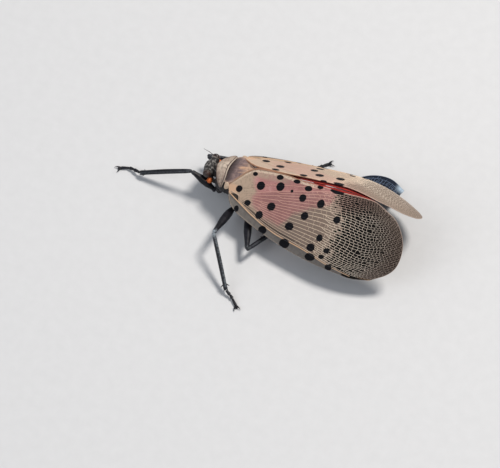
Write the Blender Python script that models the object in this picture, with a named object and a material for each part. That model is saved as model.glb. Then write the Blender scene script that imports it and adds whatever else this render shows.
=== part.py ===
"""Spotted lanternfly, life size, standing with its wings folded like a roof.

Everything is shaped in millimetres and turned into metres at the end.
X runs from the head to the wing tips, -Y is the insect's left, Z is up and
the feet stand on Z = 0. One named object for each part of the body.
"""
import bmesh
import bpy
from math import acos, atan2, cos, pi, radians, sin, sqrt
from mathutils import Matrix, Vector

MM = 0.001
GAP = 0.28                  # air kept between neighbouring parts
SKIN = 0.5                  # thickness of wings and plates
LEFT, RIGHT = -1.0, 1.0

# The folded wings: a roof whose ridge climbs to the rear
HINGE_X = 4.5               # x of the wing hinge; l is counted back from it
RIDGE_Z = 6.0
RIDGE_RISE = 5.44           # rise of the ridge over 20 mm
RIDGE_DROP = 0.96           # how much it levels out again
RIDGE_BREAK = 0.60          # where it begins to level out
SLIT = 0.46                 # half the opening between the two roofs
ROOF_TOP = 41.3             # slope of the roof at the ridge, degrees
ROOF_SIDE = 64.6            # slope 9 mm down the side
TIP_BEND = 2.41             # how far the wing tips close in

# The trunk: x, height of its middle, half width, reach up, reach down
THORAX = [(3.32, 3.0, 0.0, 0.0, 0.0), (3.5, 3.0, 1.15, 0.85, 0.8),
          (4.2, 3.0, 1.65, 1.2, 1.2), (5.4, 3.0, 1.75, 1.3, 1.4),
          (6.8, 3.1, 1.6, 1.1, 1.45), (7.9, 3.2, 1.35, 0.9, 1.2),
          (8.35, 3.25, 0.0, 0.0, 0.0)]
ABDOMEN = [(8.63, 3.4, 0.0, 0.0, 0.0), (8.9, 3.4, 1.5, 0.95, 1.2),
           (10.0, 3.55, 2.1, 1.35, 1.75), (12.5, 3.7, 2.45, 1.7, 1.95),
           (14.8, 3.9, 2.25, 1.7, 1.8), (16.8, 4.1, 1.65, 1.4, 1.35),
           (18.2, 4.2, 0.95, 0.85, 0.8), (18.9, 4.25, 0.0, 0.0, 0.0)]
SEGMENTS = 8                # rings of the abdomen

# Head parts: centre and half sizes
SKULL = ((2.3, 0, 3.5), (0.70, 1.12, 1.08))
FRONS = ((2.02, 0, 2.95), (0.52, 0.66, 1.02))
CLYPEUS = ((2.08, 0, 1.98), (0.36, 0.44, 0.58))
EYE = ((2.37, 1.22, 3.98), (0.50, 0.42, 0.50))
PEDICEL = ((2.76, 1.36, 3.0), (0.31, 0.31, 0.31))

scene = bpy.context.scene
for thing in list(bpy.data.objects):
    bpy.data.objects.remove(thing, do_unlink=True)

insect = bpy.data.collections.new("spotted_lanternfly")
scene.collection.children.link(insect)
work = bpy.data.collections.new("pieces_being_joined")
scene.collection.children.link(work)


def material(name, colour, roughness):
    mat = bpy.data.materials.new(name)
    mat.use_nodes = True
    shader = mat.node_tree.nodes["Principled BSDF"]
    shader.inputs["Base Color"].default_value = (*colour, 1.0)
    shader.inputs["Roughness"].default_value = roughness
    shader.inputs["Metallic"].default_value = 0.0
    return mat


def new_object(name, mesh, where=work):
    obj = bpy.data.objects.new(name, mesh)
    where.objects.link(obj)
    return obj


def from_bmesh(name, bm, where=work):
    bmesh.ops.recalc_face_normals(bm, faces=bm.faces)
    mesh = bpy.data.meshes.new(name)
    bm.to_mesh(mesh)
    bm.free()
    return new_object(name, mesh, where)


def evaluated(obj):
    """A plain mesh object with the modifiers or the curve of obj applied."""
    bpy.context.view_layer.update()
    graph = bpy.context.evaluated_depsgraph_get()
    mesh = bpy.data.meshes.new_from_object(obj.evaluated_get(graph))
    mesh.transform(obj.matrix_world)
    name = obj.name
    bpy.data.objects.remove(obj, do_unlink=True)
    return new_object(name, mesh)


def largest_shell(bm):
    """Keep only the connected surface with the most faces."""
    left, shells = set(bm.faces), []
    while left:
        todo = [left.pop()]
        shell = list(todo)
        while todo:
            for edge in todo.pop().edges:
                for face in edge.link_faces:
                    if face in left:
                        left.remove(face)
                        shell.append(face)
                        todo.append(face)
        shells.append(shell)
    shells.sort(key=len, reverse=True)
    scraps = [face for shell in shells[1:] for face in shell]
    bmesh.ops.delete(bm, geom=scraps, context="FACES")


def combine(main, pieces, operation="UNION"):
    """One Boolean of main with every piece, applied; the pieces go."""
    group = bpy.data.collections.new("group")
    scene.collection.children.link(group)
    for piece in pieces:
        work.objects.unlink(piece)
        group.objects.link(piece)
    step = main.modifiers.new("combine", "BOOLEAN")
    step.operation = operation
    step.operand_type = "COLLECTION"
    step.collection = group
    step.solver = "EXACT"
    result = evaluated(main)
    for piece in pieces:
        bpy.data.objects.remove(piece, do_unlink=True)
    bpy.data.collections.remove(group)
    return result


def finish(obj, name, colour, roughness, flat_foot=False):
    """Clean the mesh, turn millimetres into metres and give it its looks."""
    bm = bmesh.new()
    bm.from_mesh(obj.data)
    bmesh.ops.remove_doubles(bm, verts=bm.verts, dist=0.002)
    largest_shell(bm)
    if flat_foot:
        geom = bm.verts[:] + bm.edges[:] + bm.faces[:]
        bmesh.ops.bisect_plane(bm, geom=geom, plane_co=(0, 0, 0),
                               plane_no=(0, 0, 1), clear_inner=True)
        bmesh.ops.holes_fill(bm, edges=bm.edges)
        largest_shell(bm)
    bmesh.ops.triangulate(bm, faces=bm.faces)
    bmesh.ops.dissolve_degenerate(bm, edges=bm.edges, dist=0.002)
    bmesh.ops.triangulate(bm, faces=bm.faces)
    bmesh.ops.recalc_face_normals(bm, faces=bm.faces)
    mesh = bpy.data.meshes.new(name)
    bm.to_mesh(mesh)
    bm.free()
    bpy.data.objects.remove(obj, do_unlink=True)
    mesh.transform(Matrix.Scale(MM, 4))
    mesh.shade_smooth()
    mesh.set_sharp_from_angle(angle=radians(40))
    mesh.materials.append(material(name, colour, roughness))
    return new_object(name, mesh, insect)


def between(value, table):
    """Read a row of a table at value; its first column is the input."""
    for low, high in zip(table, table[1:]):
        if value <= high[0]:
            share = max(0.0, (value - low[0]) / (high[0] - low[0]))
            return [a + (b - a) * share for a, b in zip(low[1:], high[1:])]
    return list(table[-1][1:])


def smooth_path(points, count):
    """Points spread evenly along a smooth curve through the given ones."""
    pts = [Vector(p) for p in points]
    dense = []
    for i in range(len(pts) - 1):
        a = pts[i - 1] if i else pts[0] * 2 - pts[1]
        b, c = pts[i], pts[i + 1]
        d = pts[i + 2] if i + 2 < len(pts) else c * 2 - b
        for k in range(16):
            t = k / 16
            dense.append(0.5 * (2 * b + (c - a) * t
                                + (2 * a - 5 * b + 4 * c - d) * t * t
                                + (3 * b - a - 3 * c + d) * t ** 3))
    dense.append(pts[-1])
    run = [0.0]
    for a, b in zip(dense, dense[1:]):
        run.append(run[-1] + (b - a).length)
    out, j = [], 0
    for k in range(count):
        want = run[-1] * k / (count - 1)
        while j < len(run) - 2 and run[j + 1] < want:
            j += 1
        share = (want - run[j]) / max(run[j + 1] - run[j], 1e-9)
        out.append(dense[j].lerp(dense[j + 1], min(max(share, 0.0), 1.0)))
    return out


def ball(name, centre, half, cols=16, rows=10):
    bm = bmesh.new()
    bmesh.ops.create_uvsphere(bm, u_segments=cols, v_segments=rows, radius=1)
    for v in bm.verts:
        v.co = Vector([c + h * a for c, h, a in zip(centre, half, v.co)])
    return from_bmesh(name, bm)


def trunk(name, stations, cols, rows, ring=None):
    """A sphere stretched along X over the trunk's cross sections."""
    bm = bmesh.new()
    bmesh.ops.create_uvsphere(bm, u_segments=cols, v_segments=rows, radius=1)
    first, last = stations[0][0], stations[-1][0]
    for v in bm.verts:
        along = acos(max(-1.0, min(1.0, -v.co.z))) / pi
        x = first + (last - first) * along
        mid, wide, up, down = between(x, stations)
        turn = atan2(v.co.y, v.co.x)
        swell = ring(along) if ring else 1.0
        tall = up if sin(turn) > 0 else down
        if wide == 0.0 or sqrt(v.co.x ** 2 + v.co.y ** 2) < 1e-5:
            wide = tall = 0.0
        v.co = Vector((x, wide * swell * cos(turn),
                       mid + tall * swell * sin(turn)))
    return from_bmesh(name, bm)


def tube(name, points, sizes, count, sides=8, smooth=True):
    """A round limb along a path; sizes are its radii, read evenly."""
    path = smooth_path(points, count) if smooth else [Vector(p) for p in points]
    curve = bpy.data.curves.new(name, "CURVE")
    curve.dimensions = "3D"
    curve.bevel_depth = 1.0
    curve.bevel_resolution = (sides - 4) // 2
    curve.use_fill_caps = True
    spline = curve.splines.new("POLY")
    spline.points.add(len(path) - 1)
    table = [(i / (len(sizes) - 1), r) for i, r in enumerate(sizes)]
    for i, p in enumerate(path):
        spline.points[i].co = (*p, 1.0)
        spline.points[i].radius = between(i / (len(path) - 1), table)[0]
    obj = evaluated(new_object(name, curve))
    bm = bmesh.new()
    bm.from_mesh(obj.data)
    bmesh.ops.remove_doubles(bm, verts=bm.verts, dist=0.0005)
    bpy.data.objects.remove(obj, do_unlink=True)
    return from_bmesh(name, bm)


# Wings

def slope(q):
    """Roof slope in radians at q millimetres down from the ridge."""
    share = min(max(q / 9.0, 0.0), 1.3)
    return radians(ROOF_TOP + (ROOF_SIDE - ROOF_TOP) * share ** 2)


def roof_profile(q):
    """Distance out and distance down after q millimetres of roof."""
    steps, out, down = 24, 0.0, 0.0
    for i in range(steps):
        at = slope(q * (i + 0.5) / steps)
        out += cos(at) * q / steps
        down += sin(at) * q / steps
    return out, down


def ridge(l):
    level = max(l / 20 - RIDGE_BREAK, 0.0)
    return RIDGE_Z + RIDGE_RISE * l / 20 - 10 * RIDGE_DROP * level ** 2


def roof(l, q, side, lift=0.0):
    """A point of the folded wing, lift millimetres out of its surface."""
    out, down = roof_profile(q)
    close = TIP_BEND * (max(l - 14, 0.0) / 10) ** 2
    y = max(SLIT + out - close, 0.2 + 0.3 * max(q, 0.0))
    at = slope(q)
    return Vector((HINGE_X + l, side * (y + lift * sin(at)),
                   ridge(l) - down + lift * cos(at)))


def below(point, q, side, depth):
    """The point depth under the roof: straight down beside the slit."""
    away = side * point.y
    share = min(max((away - 0.2) / 1.2, 0.0), 1.0)
    at = slope(q)
    way = Vector((0, -side * sin(at) * share, -(1 - share) - cos(at) * share))
    way = way * (depth / abs(way.y * sin(at) * side + way.z * cos(at)))
    low = point + way
    low.y = side * max(side * low.y, 0.14)
    return low


def patch(inner, tip, costal, across, along):
    """Grid of (l, q) between the four edges of a wing, a Coons patch."""
    fs, rows = across, along + 1
    low = smooth_path([(*p, 0) for p in inner], rows)
    high = smooth_path([(*p, 0) for p in costal], rows)
    end = smooth_path([(*p, 0) for p in tip], 401)
    grid = []
    for i in range(rows):
        s = i / along
        line = []
        for f in fs:
            base = low[0].lerp(high[0], f)
            edge = end[round(f * 400)]
            p = (low[i].lerp(high[i], f) + base.lerp(edge, s)
                 - base.lerp(end[0].lerp(end[-1], f), s))
            line.append((p.x, p.y))
        grid.append(line)
    return grid


def vane(name, grid, place, under):
    """A closed thin plate: place(l, q, f, s) is its top, under its back."""
    rows, cols = len(grid), len(grid[0])
    bm = bmesh.new()
    bmesh.ops.create_grid(bm, x_segments=cols - 1, y_segments=rows - 1,
                          size=0.5)
    bm.verts.ensure_lookup_table()
    spots = {}
    for v in bm.verts:
        j = round((v.co.x + 0.5) * (cols - 1))
        i = round((v.co.y + 0.5) * (rows - 1))
        spots[v] = (i, j)
    bmesh.ops.triangulate(bm, faces=bm.faces)
    made = bmesh.ops.extrude_face_region(bm, geom=bm.faces[:],
                                         use_keep_orig=True)
    copies = [g for g in made["geom"] if isinstance(g, bmesh.types.BMVert)]
    for v in copies:
        j = round((v.co.x + 0.5) * (cols - 1))
        i = round((v.co.y + 0.5) * (rows - 1))
        v.co = under(*grid[i][j], j, i)
    for v, (i, j) in spots.items():
        v.co = place(*grid[i][j], j, i)
    return from_bmesh(name, bm)


# Forewing edges in (l, q): back from the hinge, down from the ridge
FORE_INNER = [(0.95, 2.15), (1.42, 1.57), (2.04, 0.92), (2.7, 0.3),
              (3.5, 0.0), (5.3, -0.05), (10.1, -0.1), (15.0, 0.1),
              (18.1, 0.2), (19.4, 0.7)]
FORE_TIP = [(19.4, 0.7), (21.2, 2.0), (22.5, 4.3), (22.7, 6.7),
            (22.0, 8.3), (20.2, 9.6)]
FORE_COSTAL = [(1.4, 3.05), (1.55, 3.6), (2.2, 4.5), (3.7, 5.5), (8.0, 7.4),
               (12.4, 8.9), (16.3, 9.6), (18.2, 9.9), (20.2, 9.6)]
VEIN_GAPS = 5               # main veins run at the edges of these gaps
VEIN_HIGH = 0.12
COLUMNS = (0.0, 0.17, 0.38, 0.5, 0.62, 0.83)


def forewing(name, side):
    across = [(k + c) / VEIN_GAPS for k in range(VEIN_GAPS) for c in COLUMNS]
    across.append(1.0)
    rows = 18
    grid = patch(FORE_INNER, FORE_TIP, FORE_COSTAL, across, rows)

    def top(l, q, j, i):
        lift, s = 0.0, i / rows
        if j % 6 == 0:
            lift = VEIN_HIGH
        elif j % 6 == 3:
            lift = VEIN_HIGH * min(max((s - 0.4) / 0.12, 0.0), 1.0)
        return roof(l, q, side, lift)

    def back(l, q, j, i):
        return below(roof(l, q, side), q, side, SKIN)

    return vane(name, grid, top, back)


# Hindwing edges in the same measure
HIND_INNER = [(2.3, 3.0), (3.6, 1.8), (5.2, 0.9), (8.0, 0.5),
              (12.0, 0.5), (15.0, 1.0)]
HIND_TIP = [(15.0, 1.0), (17.3, 3.0), (18.3, 5.4), (17.9, 7.0)]
HIND_TIP_OUT = [(15.0, 1.0), (17.6, 3.2), (18.9, 6.2), (19.2, 9.4),
                (18.4, 11.4)]
HIND_COSTAL = [(2.3, 3.7), (3.2, 4.3), (6.0, 5.6), (10.0, 6.6),
               (14.0, 7.2), (17.9, 7.0)]
HIND_COSTAL_OUT = [(2.3, 3.7), (3.2, 4.3), (6.0, 5.6), (9.5, 6.9),
                   (12.4, 8.9), (14.6, 11.2), (16.6, 11.9), (18.4, 11.4)]
FLARE_FROM = 7.0            # below this the right hindwing turns outwards
FLARE_DROP = 9.2


def hind_point(l, q, side):
    """Top of the hindwing: under the forewing, its far tip turned out."""
    flat = min(q, FLARE_FROM)
    p = roof(l, flat, side)
    p.z -= (SKIN + GAP) / cos(slope(flat)) + 0.08
    steep = min(max(q - FLARE_FROM, 0.0), FLARE_DROP - FLARE_FROM)
    out = max(q - FLARE_DROP, 0.0)
    p.y += side * (steep * 0.45 + out * 0.93)
    p.z -= steep * 0.89 + out * 0.22
    return p


def hindwing(name, side, tip, costal):
    count, rows = 12, 14
    grid = patch(HIND_INNER, tip, costal,
                 [k / count for k in range(count + 1)], rows)

    def top(l, q, j, i):
        return hind_point(l, q, side)

    def back(l, q, j, i):
        p = hind_point(l, q, side)
        if q > FLARE_DROP:
            return p + Vector((0, -side * 0.1, -SKIN))
        return below(p, min(q, 8.0), side, SKIN)

    return vane(name, grid, top, back)


for word, side in (("left", LEFT), ("right", RIGHT)):
    finish(forewing("forewing_" + word, side), "forewing_" + word,
           (0.55, 0.38, 0.31), 0.55)
finish(hindwing("hindwing_left", LEFT, HIND_TIP, HIND_COSTAL),
       "hindwing_left", (0.45, 0.03, 0.03), 0.6)
finish(hindwing("hindwing_right", RIGHT, HIND_TIP_OUT, HIND_COSTAL_OUT),
       "hindwing_right", (0.45, 0.03, 0.03), 0.6)


# Back plates

def plate(name, cols, rows, place, under):
    grid = [[(i / rows, 2 * j / cols - 1) for j in range(cols + 1)]
            for i in range(rows + 1)]
    return vane(name, grid,
                lambda s, t, j, i: place(s, t, 0.0),
                lambda s, t, j, i: under(s, t))


def collar(s, t, depth):
    """Pronotum: a saddle over the front of the thorax."""
    turn = radians(72) * t
    front = 3.12 + 1.15 * abs(t) ** 1.25
    rear = 4.76 - 0.14 * t * t
    x = front + (rear - front) * s
    swell = 0.10 * sin(pi * s) - 0.14 * (1 - s) ** 2
    y = (2.42 + swell - depth) * sin(turn)
    z = 3.4 + (1.75 + swell - depth) * cos(turn) + 0.22 * (x - 4.0)
    return Vector((x, y, z))


finish(plate("pronotum", 20, 7, collar, lambda s, t: collar(s, t, SKIN)),
       "pronotum", (0.42, 0.32, 0.22), 0.7)

SHIELD = [(5.06, 1.90), (5.24, 1.90), (5.92, 1.36), (6.54, 0.86),
          (7.15, 0.38), (7.6, 0.16), (7.9, 0.1)]


def shield(s, t, depth):
    """Mesonotum with the scutellum's point between the wings."""
    wide = between(SHIELD[0][0] + (SHIELD[-1][0] - SHIELD[0][0]) * s,
                   SHIELD)[0]
    x = SHIELD[0][0] + (SHIELD[-1][0] - SHIELD[0][0]) * s
    crown = 5.35 + 0.5 * (x - 5.0) - 0.22 * (1 - s) ** 6
    keel = 0.07 * (abs(t) < 0.05 or abs(abs(t) - 0.5) < 0.05)
    z = crown - 0.15 * (wide * t) ** 2 + keel
    return Vector((x, wide * t, z - depth))


finish(plate("mesonotum", 16, 10, shield, lambda s, t: shield(s, t, 0.62)),
       "mesonotum", (0.22, 0.13, 0.10), 0.6)

for word, side in (("left", LEFT), ("right", RIGHT)):
    finish(ball("tegula_" + word, (5.40, side * 2.6, 4.1),
                (0.21, 0.34, 0.36), 12, 8),
           "tegula_" + word, (0.45, 0.33, 0.24), 0.6)


# Thorax with the six hip joints, and the ringed abdomen
HIPS = {"fore": (3.95, 1.0, 1.9), "mid": (6.0, 1.15, 1.75),
        "hind": (7.55, 1.1, 1.9)}
HIP_ENDS = {"fore": (3.60, 1.45, 1.50), "mid": (6.5, 2.0, 1.4),
            "hind": (7.95, 1.9, 1.45)}
core = trunk("thorax", THORAX, 18, 14)
hips = []
for pair in HIPS:
    for side in (LEFT, RIGHT):
        a, b = Vector(HIPS[pair]), Vector(HIP_ENDS[pair])
        a.y *= side
        b.y *= side
        hips.append(tube("hip", [a, a.lerp(b, 0.5), b],
                         (0.55, 0.52, 0.36), 4))
finish(combine(core, hips), "thorax", (0.05, 0.045, 0.045), 0.5)


def rings(along):
    return 1.0 - 0.05 * ((along * SEGMENTS) % 1.0) ** 2


finish(trunk("abdomen", ABDOMEN, 18, 26, rings), "abdomen",
       (0.45, 0.30, 0.10), 0.5)

# Head, eyes, feelers and beak
skull = ball("head", *SKULL, 18, 12)
skull = combine(skull, [ball("frons", *FRONS, 14, 10),
                        ball("clypeus", *CLYPEUS, 12, 8)])
sockets = []
for side in (LEFT, RIGHT):
    for centre, half in (EYE, PEDICEL):
        centre = (centre[0], side * centre[1], centre[2])
        grown = [h + GAP for h in half]
        sockets.append(ball("socket", centre, grown, 16, 10))
finish(combine(skull, sockets, "DIFFERENCE"), "head",
       (0.06, 0.05, 0.05), 0.5)

HAIR_TIPS = {"left": (0.5, -1.45, 3.7), "right": (0.2, 2.4, 2.85)}
for word, side in (("left", LEFT), ("right", RIGHT)):
    centre = (EYE[0][0], side * EYE[0][1], EYE[0][2])
    finish(ball("eye", centre, EYE[1], 16, 10), "eye_" + word,
           (0.10, 0.06, 0.05), 0.25)
    bulb = Vector((PEDICEL[0][0], side * PEDICEL[0][1], PEDICEL[0][2]))
    end = Vector(HAIR_TIPS[word])
    hair = tube("hair", [bulb, bulb + Vector((-0.45, side * 0.3, 0.1)),
                         bulb.lerp(end, 0.6) + Vector((0, side * 0.15, 0.1)),
                         end],
                (0.24, 0.2, 0.14, 0.08, 0.05), 8, 6)
    lump = ball("antenna_" + word, bulb, PEDICEL[1], 14, 10)
    finish(combine(lump, [hair]), "antenna_" + word, (0.65, 0.16, 0.02), 0.4)

finish(tube("beak", [(2.1, 0, 1.08), (2.6, 0, 0.9),
                     (4.0, 0, 1.0), (6.2, 0, 1.05)],
            (0.3, 0.28, 0.26, 0.25, 0.12), 9, 8),
       "beak", (0.03, 0.03, 0.03), 0.5)

# Legs: femur, tibia and tarsus from knee, ankle and toe positions
LEGS = {
    "fore_left": [(0.45, -1.32, 3.42), (-5.6, -2.48, 0.72),
                  (-6.8, -2.15, 0.35), (-7.8, -2.15, 0.2), (-8.5, -2.9, 0.1)],
    "fore_right": [(0.95, 2.0, 2.35), (6.0, 4.1, 0.66),
                   (6.9, 4.4, 0.35), (7.9, 4.6, 0.2), (8.6, 4.8, 0.1)],
    "mid_left": [(6.4, -8.0, 3.8), (10.1, -12.6, 0.7),
                 (10.9, -12.9, 0.35), (11.66, -13.45, 0.2),
                 (12.1, -14.0, 0.1)],
    "mid_right": [(7.7, 4.45, 1.85), (12.5, 6.6, 0.66),
                  (12.85, 7.3, 0.35), (13.2, 7.95, 0.2), (13.85, 8.4, 0.1)],
    "hind_left": [(10.35, -7.5, 2.1), (12.3, -2.2, 0.66),
                  (13.2, -2.0, 0.35), (14.2, -1.85, 0.2), (15.0, -1.6, 0.1)],
    "hind_right": [(11.0, 5.1, 1.6), (16.5, 4.2, 0.66),
                   (17.4, 4.1, 0.35), (18.4, 4.0, 0.2), (19.2, 3.9, 0.1)],
}
THIGH = {"fore": 0.42, "mid": 0.46, "hind": 0.45}
SHIN = 0.29
FOOT = 0.25
LEG_COLOUR = (0.025, 0.022, 0.028)


def gap_out(a, b, start, end):
    """The two ends drawn in by the given lengths along the way."""
    way = (b - a).normalized()
    return a + way * start, b - way * end


for leg, points in LEGS.items():
    pair, word = leg.split("_")
    side = LEFT if word == "left" else RIGHT
    knee, ankle, sole, pad, toe = [Vector(p) for p in points]
    hip = Vector(HIP_ENDS[pair])
    hip.y *= side
    a, b = gap_out(hip, knee, GAP, 0.0)
    big = THIGH[pair]
    bulge = a.lerp(b, 0.5) + Vector((0, 0, 0.12))
    finish(tube(leg, [a, bulge, b],
                (0.25, 0.33, big * 0.95, big, big * 0.96, 0.36, 0.30, 0.27),
                9), "leg_" + leg + "_femur", LEG_COLOUR, 0.4)
    fold = (hip - knee).normalized().dot((ankle - knee).normalized())
    a, b = gap_out(knee, ankle, GAP + 0.06 + 0.3 * (1 + fold)
                   + 0.4 * max(fold, 0.0), 0.0)
    shin = tube(leg, [a, a.lerp(b, 0.5) + Vector((0, 0, 0.08)), b],
                (0.26, 0.29, SHIN, SHIN, SHIN, 0.27, 0.27), 8)
    thorns = []
    run = (b - a).normalized()
    cross = run.cross(Vector((0, 0, 1))).normalized() * side
    for k in range(4 if pair == "hind" else 2):
        at = a.lerp(b, 0.45 + 0.15 * k if pair == "hind" else 0.90)
        way = cross if pair == "hind" else cross * (1 - 2 * k)
        thorns.append(tube("thorn", [at, at + way * 0.32 + run * 0.12,
                                     at + way * 0.55 + run * 0.32],
                           (0.14, 0.10, 0.03), 3, 4, smooth=False))
    finish(combine(shin, thorns), "leg_" + leg + "_tibia", LEG_COLOUR, 0.4)
    a = ankle + (sole - ankle).normalized() * GAP
    foot = tube(leg, [a, sole, pad, pad.lerp(toe, 0.55)],
                (0.25, 0.26, 0.2, 0.26, 0.24, 0.28, 0.25), 9)
    claws = []
    ahead = (toe - pad).normalized()
    ahead.z = 0.0
    across = Vector((-ahead.y, ahead.x, 0))
    root = pad.lerp(toe, 0.45)
    root.z = 0.17
    for turn in (-1, 1):
        claws.append(tube("claw", [root, root + ahead * 0.35
                                   + across * 0.2 * turn + Vector((0, 0, 0.1)),
                                   root + ahead * 0.68
                                   + across * 0.34 * turn
                                   - Vector((0, 0, 0.06))],
                          (0.16, 0.12, 0.04), 4, 4))
    finish(combine(foot, claws), "leg_" + leg + "_tarsus", LEG_COLOUR, 0.4,
           flat_foot=True)

# The middle of the model's box becomes the origin
bpy.context.view_layer.update()
spread = [v.co for obj in insect.objects for v in obj.data.vertices]
mid = [(min(p[i] for p in spread) + max(p[i] for p in spread)) / 2
       for i in (0, 1)]
for obj in insect.objects:
    obj.data.transform(Matrix.Translation((-mid[0], -mid[1], 0)))
bpy.data.collections.remove(work)
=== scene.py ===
from math import cos, pi, radians, sin

import bpy
import numpy as np
from mathutils import Matrix, Vector


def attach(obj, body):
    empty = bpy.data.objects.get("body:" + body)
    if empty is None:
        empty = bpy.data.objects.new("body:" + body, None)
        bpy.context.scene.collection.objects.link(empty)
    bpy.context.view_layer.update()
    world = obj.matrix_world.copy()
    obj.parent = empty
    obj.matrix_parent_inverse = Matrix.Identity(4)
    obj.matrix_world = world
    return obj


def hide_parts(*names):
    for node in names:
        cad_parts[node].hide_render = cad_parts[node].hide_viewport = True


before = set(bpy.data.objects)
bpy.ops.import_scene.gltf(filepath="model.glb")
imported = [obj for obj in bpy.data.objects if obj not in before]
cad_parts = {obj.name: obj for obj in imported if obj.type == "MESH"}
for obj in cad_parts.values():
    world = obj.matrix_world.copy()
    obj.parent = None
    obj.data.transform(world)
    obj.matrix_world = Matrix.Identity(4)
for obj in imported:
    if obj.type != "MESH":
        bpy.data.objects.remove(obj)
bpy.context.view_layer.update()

# ---------------------------------------------------------------- thorax
# The middle of the body, three fused rings of black horny shell that carry
# the six hips. Every piece is shaped in millimetres, x from the head to the
# wing tips and -y the insect's left, then put into the frame in metres.
MIDDLE = Vector((9.198328, -2.808171, 0.0))     # middle of the model's box
MM = 0.001                                      # in metres
SIDES = {"left": -1.0, "right": 1.0}            # which way y goes
dice = np.random.default_rng(7)


def begin(name, add, **sizes):
    """A primitive with its own name, added while nothing is selected."""
    bpy.ops.object.select_all(action="DESELECT")
    add(**sizes)
    obj = bpy.context.object
    obj.name = obj.data.name = name
    return obj


def sphere(name, around, along):
    """A round blank; its poles become the two ends of the piece."""
    return begin(name, bpy.ops.mesh.primitive_uv_sphere_add,
                 segments=around, ring_count=along, radius=1.0)


def points_of(obj):
    flat = np.empty(len(obj.data.vertices) * 3)
    obj.data.vertices.foreach_get("co", flat)
    return flat.reshape(-1, 3)


def polar(p):
    """For points of a round blank: the share of the way from pole to pole,
    and the turn about them."""
    return (np.arccos(np.clip(-p[:, 2], -1, 1)) / pi,
            np.arctan2(p[:, 1], p[:, 0]))


def mould(obj, shape):
    """Press the points of a mesh into another shape."""
    new = np.asarray(shape(points_of(obj)), dtype=float)
    obj.data.vertices.foreach_set("co", new.ravel())
    obj.data.update()
    return obj


def only(obj):
    bpy.ops.object.select_all(action="DESELECT")
    obj.select_set(True)
    bpy.context.view_layer.objects.active = obj


def face_out(obj):
    """All faces of a closed shell turned outwards."""
    only(obj)
    bpy.ops.object.mode_set(mode="EDIT")
    bpy.ops.mesh.select_all(action="SELECT")
    bpy.ops.mesh.normals_make_consistent(inside=False)
    bpy.ops.object.mode_set(mode="OBJECT")
    return obj


def modify(obj, kind, **settings):
    """One modifier, set and applied."""
    only(obj)
    step = obj.modifiers.new(kind, kind)
    for key, value in settings.items():
        setattr(step, key, value)
    bpy.ops.object.modifier_apply(modifier=step.name)


def join(name, pieces):
    only(pieces[0])
    for piece in pieces:
        piece.select_set(True)
    bpy.ops.object.join()
    obj = bpy.context.object
    obj.name = obj.data.name = name
    return obj


def note(obj, name, values):
    """Keep a number for each point, which the piece's material reads."""
    layer = obj.data.attributes.new(name, "FLOAT", "POINT")
    layer.data.foreach_set("value", np.asarray(values, dtype=np.float32))


def settle(obj, finish, slot, *nodes):
    """Into metres and the part's frame, dressed and handed to the frame."""
    obj.data.transform(Matrix.Scale(MM, 4) @ Matrix.Translation(-MIDDLE))
    obj.data.materials.clear()
    obj.data.materials.append(finish)
    obj.data.shade_smooth()
    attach(obj, "root")
    if nodes:
        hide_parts(*nodes)


def on_side(side, point):
    """A point given for the right half, put on the side that is meant."""
    return np.array(point) * (1, side, 1)


def ease(value, low, high):
    """0 up to low, 1 from high on, smooth between."""
    share = np.clip((np.asarray(value, float) - low) / (high - low), 0, 1)
    return share * share * (3 - 2 * share)


def between(value, table):
    """Columns of a table read at value; its first column is the input."""
    table = np.array(table, dtype=float)
    return [np.interp(value, table[:, 0], col) for col in table[:, 1:].T]


def smooth_path(points, count):
    """Points spread evenly along a smooth curve through the given ones."""
    pts = np.array(points, dtype=float)
    ends = np.vstack([2 * pts[0] - pts[1], pts, 2 * pts[-1] - pts[-2]])
    steps = 16                  # between two of the given points
    t = (np.arange(steps) / steps)[:, None]
    dense = []
    for a, b, c, d in zip(ends, ends[1:], ends[2:], ends[3:]):
        dense.append(0.5 * (2 * b + (c - a) * t
                            + (2 * a - 5 * b + 4 * c - d) * t ** 2
                            + (3 * b - a - 3 * c + d) * t ** 3))
    dense = np.vstack(dense + [pts[-1:]])
    run = np.append(0, np.cumsum(np.linalg.norm(np.diff(dense, axis=0),
                                                axis=1)))
    want = np.linspace(0, run[-1], count)
    return np.stack([np.interp(want, run, col) for col in dense.T], axis=1)


def unit(v):
    return v / np.maximum(np.linalg.norm(v, axis=-1, keepdims=True), 1e-9)


def limb(name, points, sizes, ref, sides, rings, ends, section=None):
    """A round blank drawn out along a curve. Its radii along the curve are
    sizes, ref points to its upper side, ends are the shares at both ends
    that are rounded off, and section swells its outline."""
    obj = sphere(name, sides, rings)
    path = smooth_path(points, 201)
    ahead = unit(np.gradient(path, axis=0))
    run = np.linspace(0, 1, len(path))

    def draw(p):
        t, turn = polar(p)
        at, way = [np.stack([np.interp(t, run, c) for c in line.T], axis=1)
                   for line in (path, ahead)]
        way = unit(way)
        side = unit(np.cross(way, np.asarray(ref, float)))
        up = np.cross(side, way)
        r = np.interp(t, np.linspace(0, 1, len(sizes)), sizes)
        for far, end in ((t, ends[0]), (1 - t, ends[1])):
            if end:
                r = r * np.sqrt(1 - np.clip(1 - far / end, 0, 1) ** 2)
            else:
                r = np.where(far < 1e-4, 0, r)
        if section:
            r = r * section(t, turn)
        return (at - side * (r * np.cos(turn))[:, None]
                + up * (r * np.sin(turn))[:, None])

    mould(obj, draw)
    modify(obj, "WELD", merge_threshold=1e-5)
    return face_out(obj)


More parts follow.
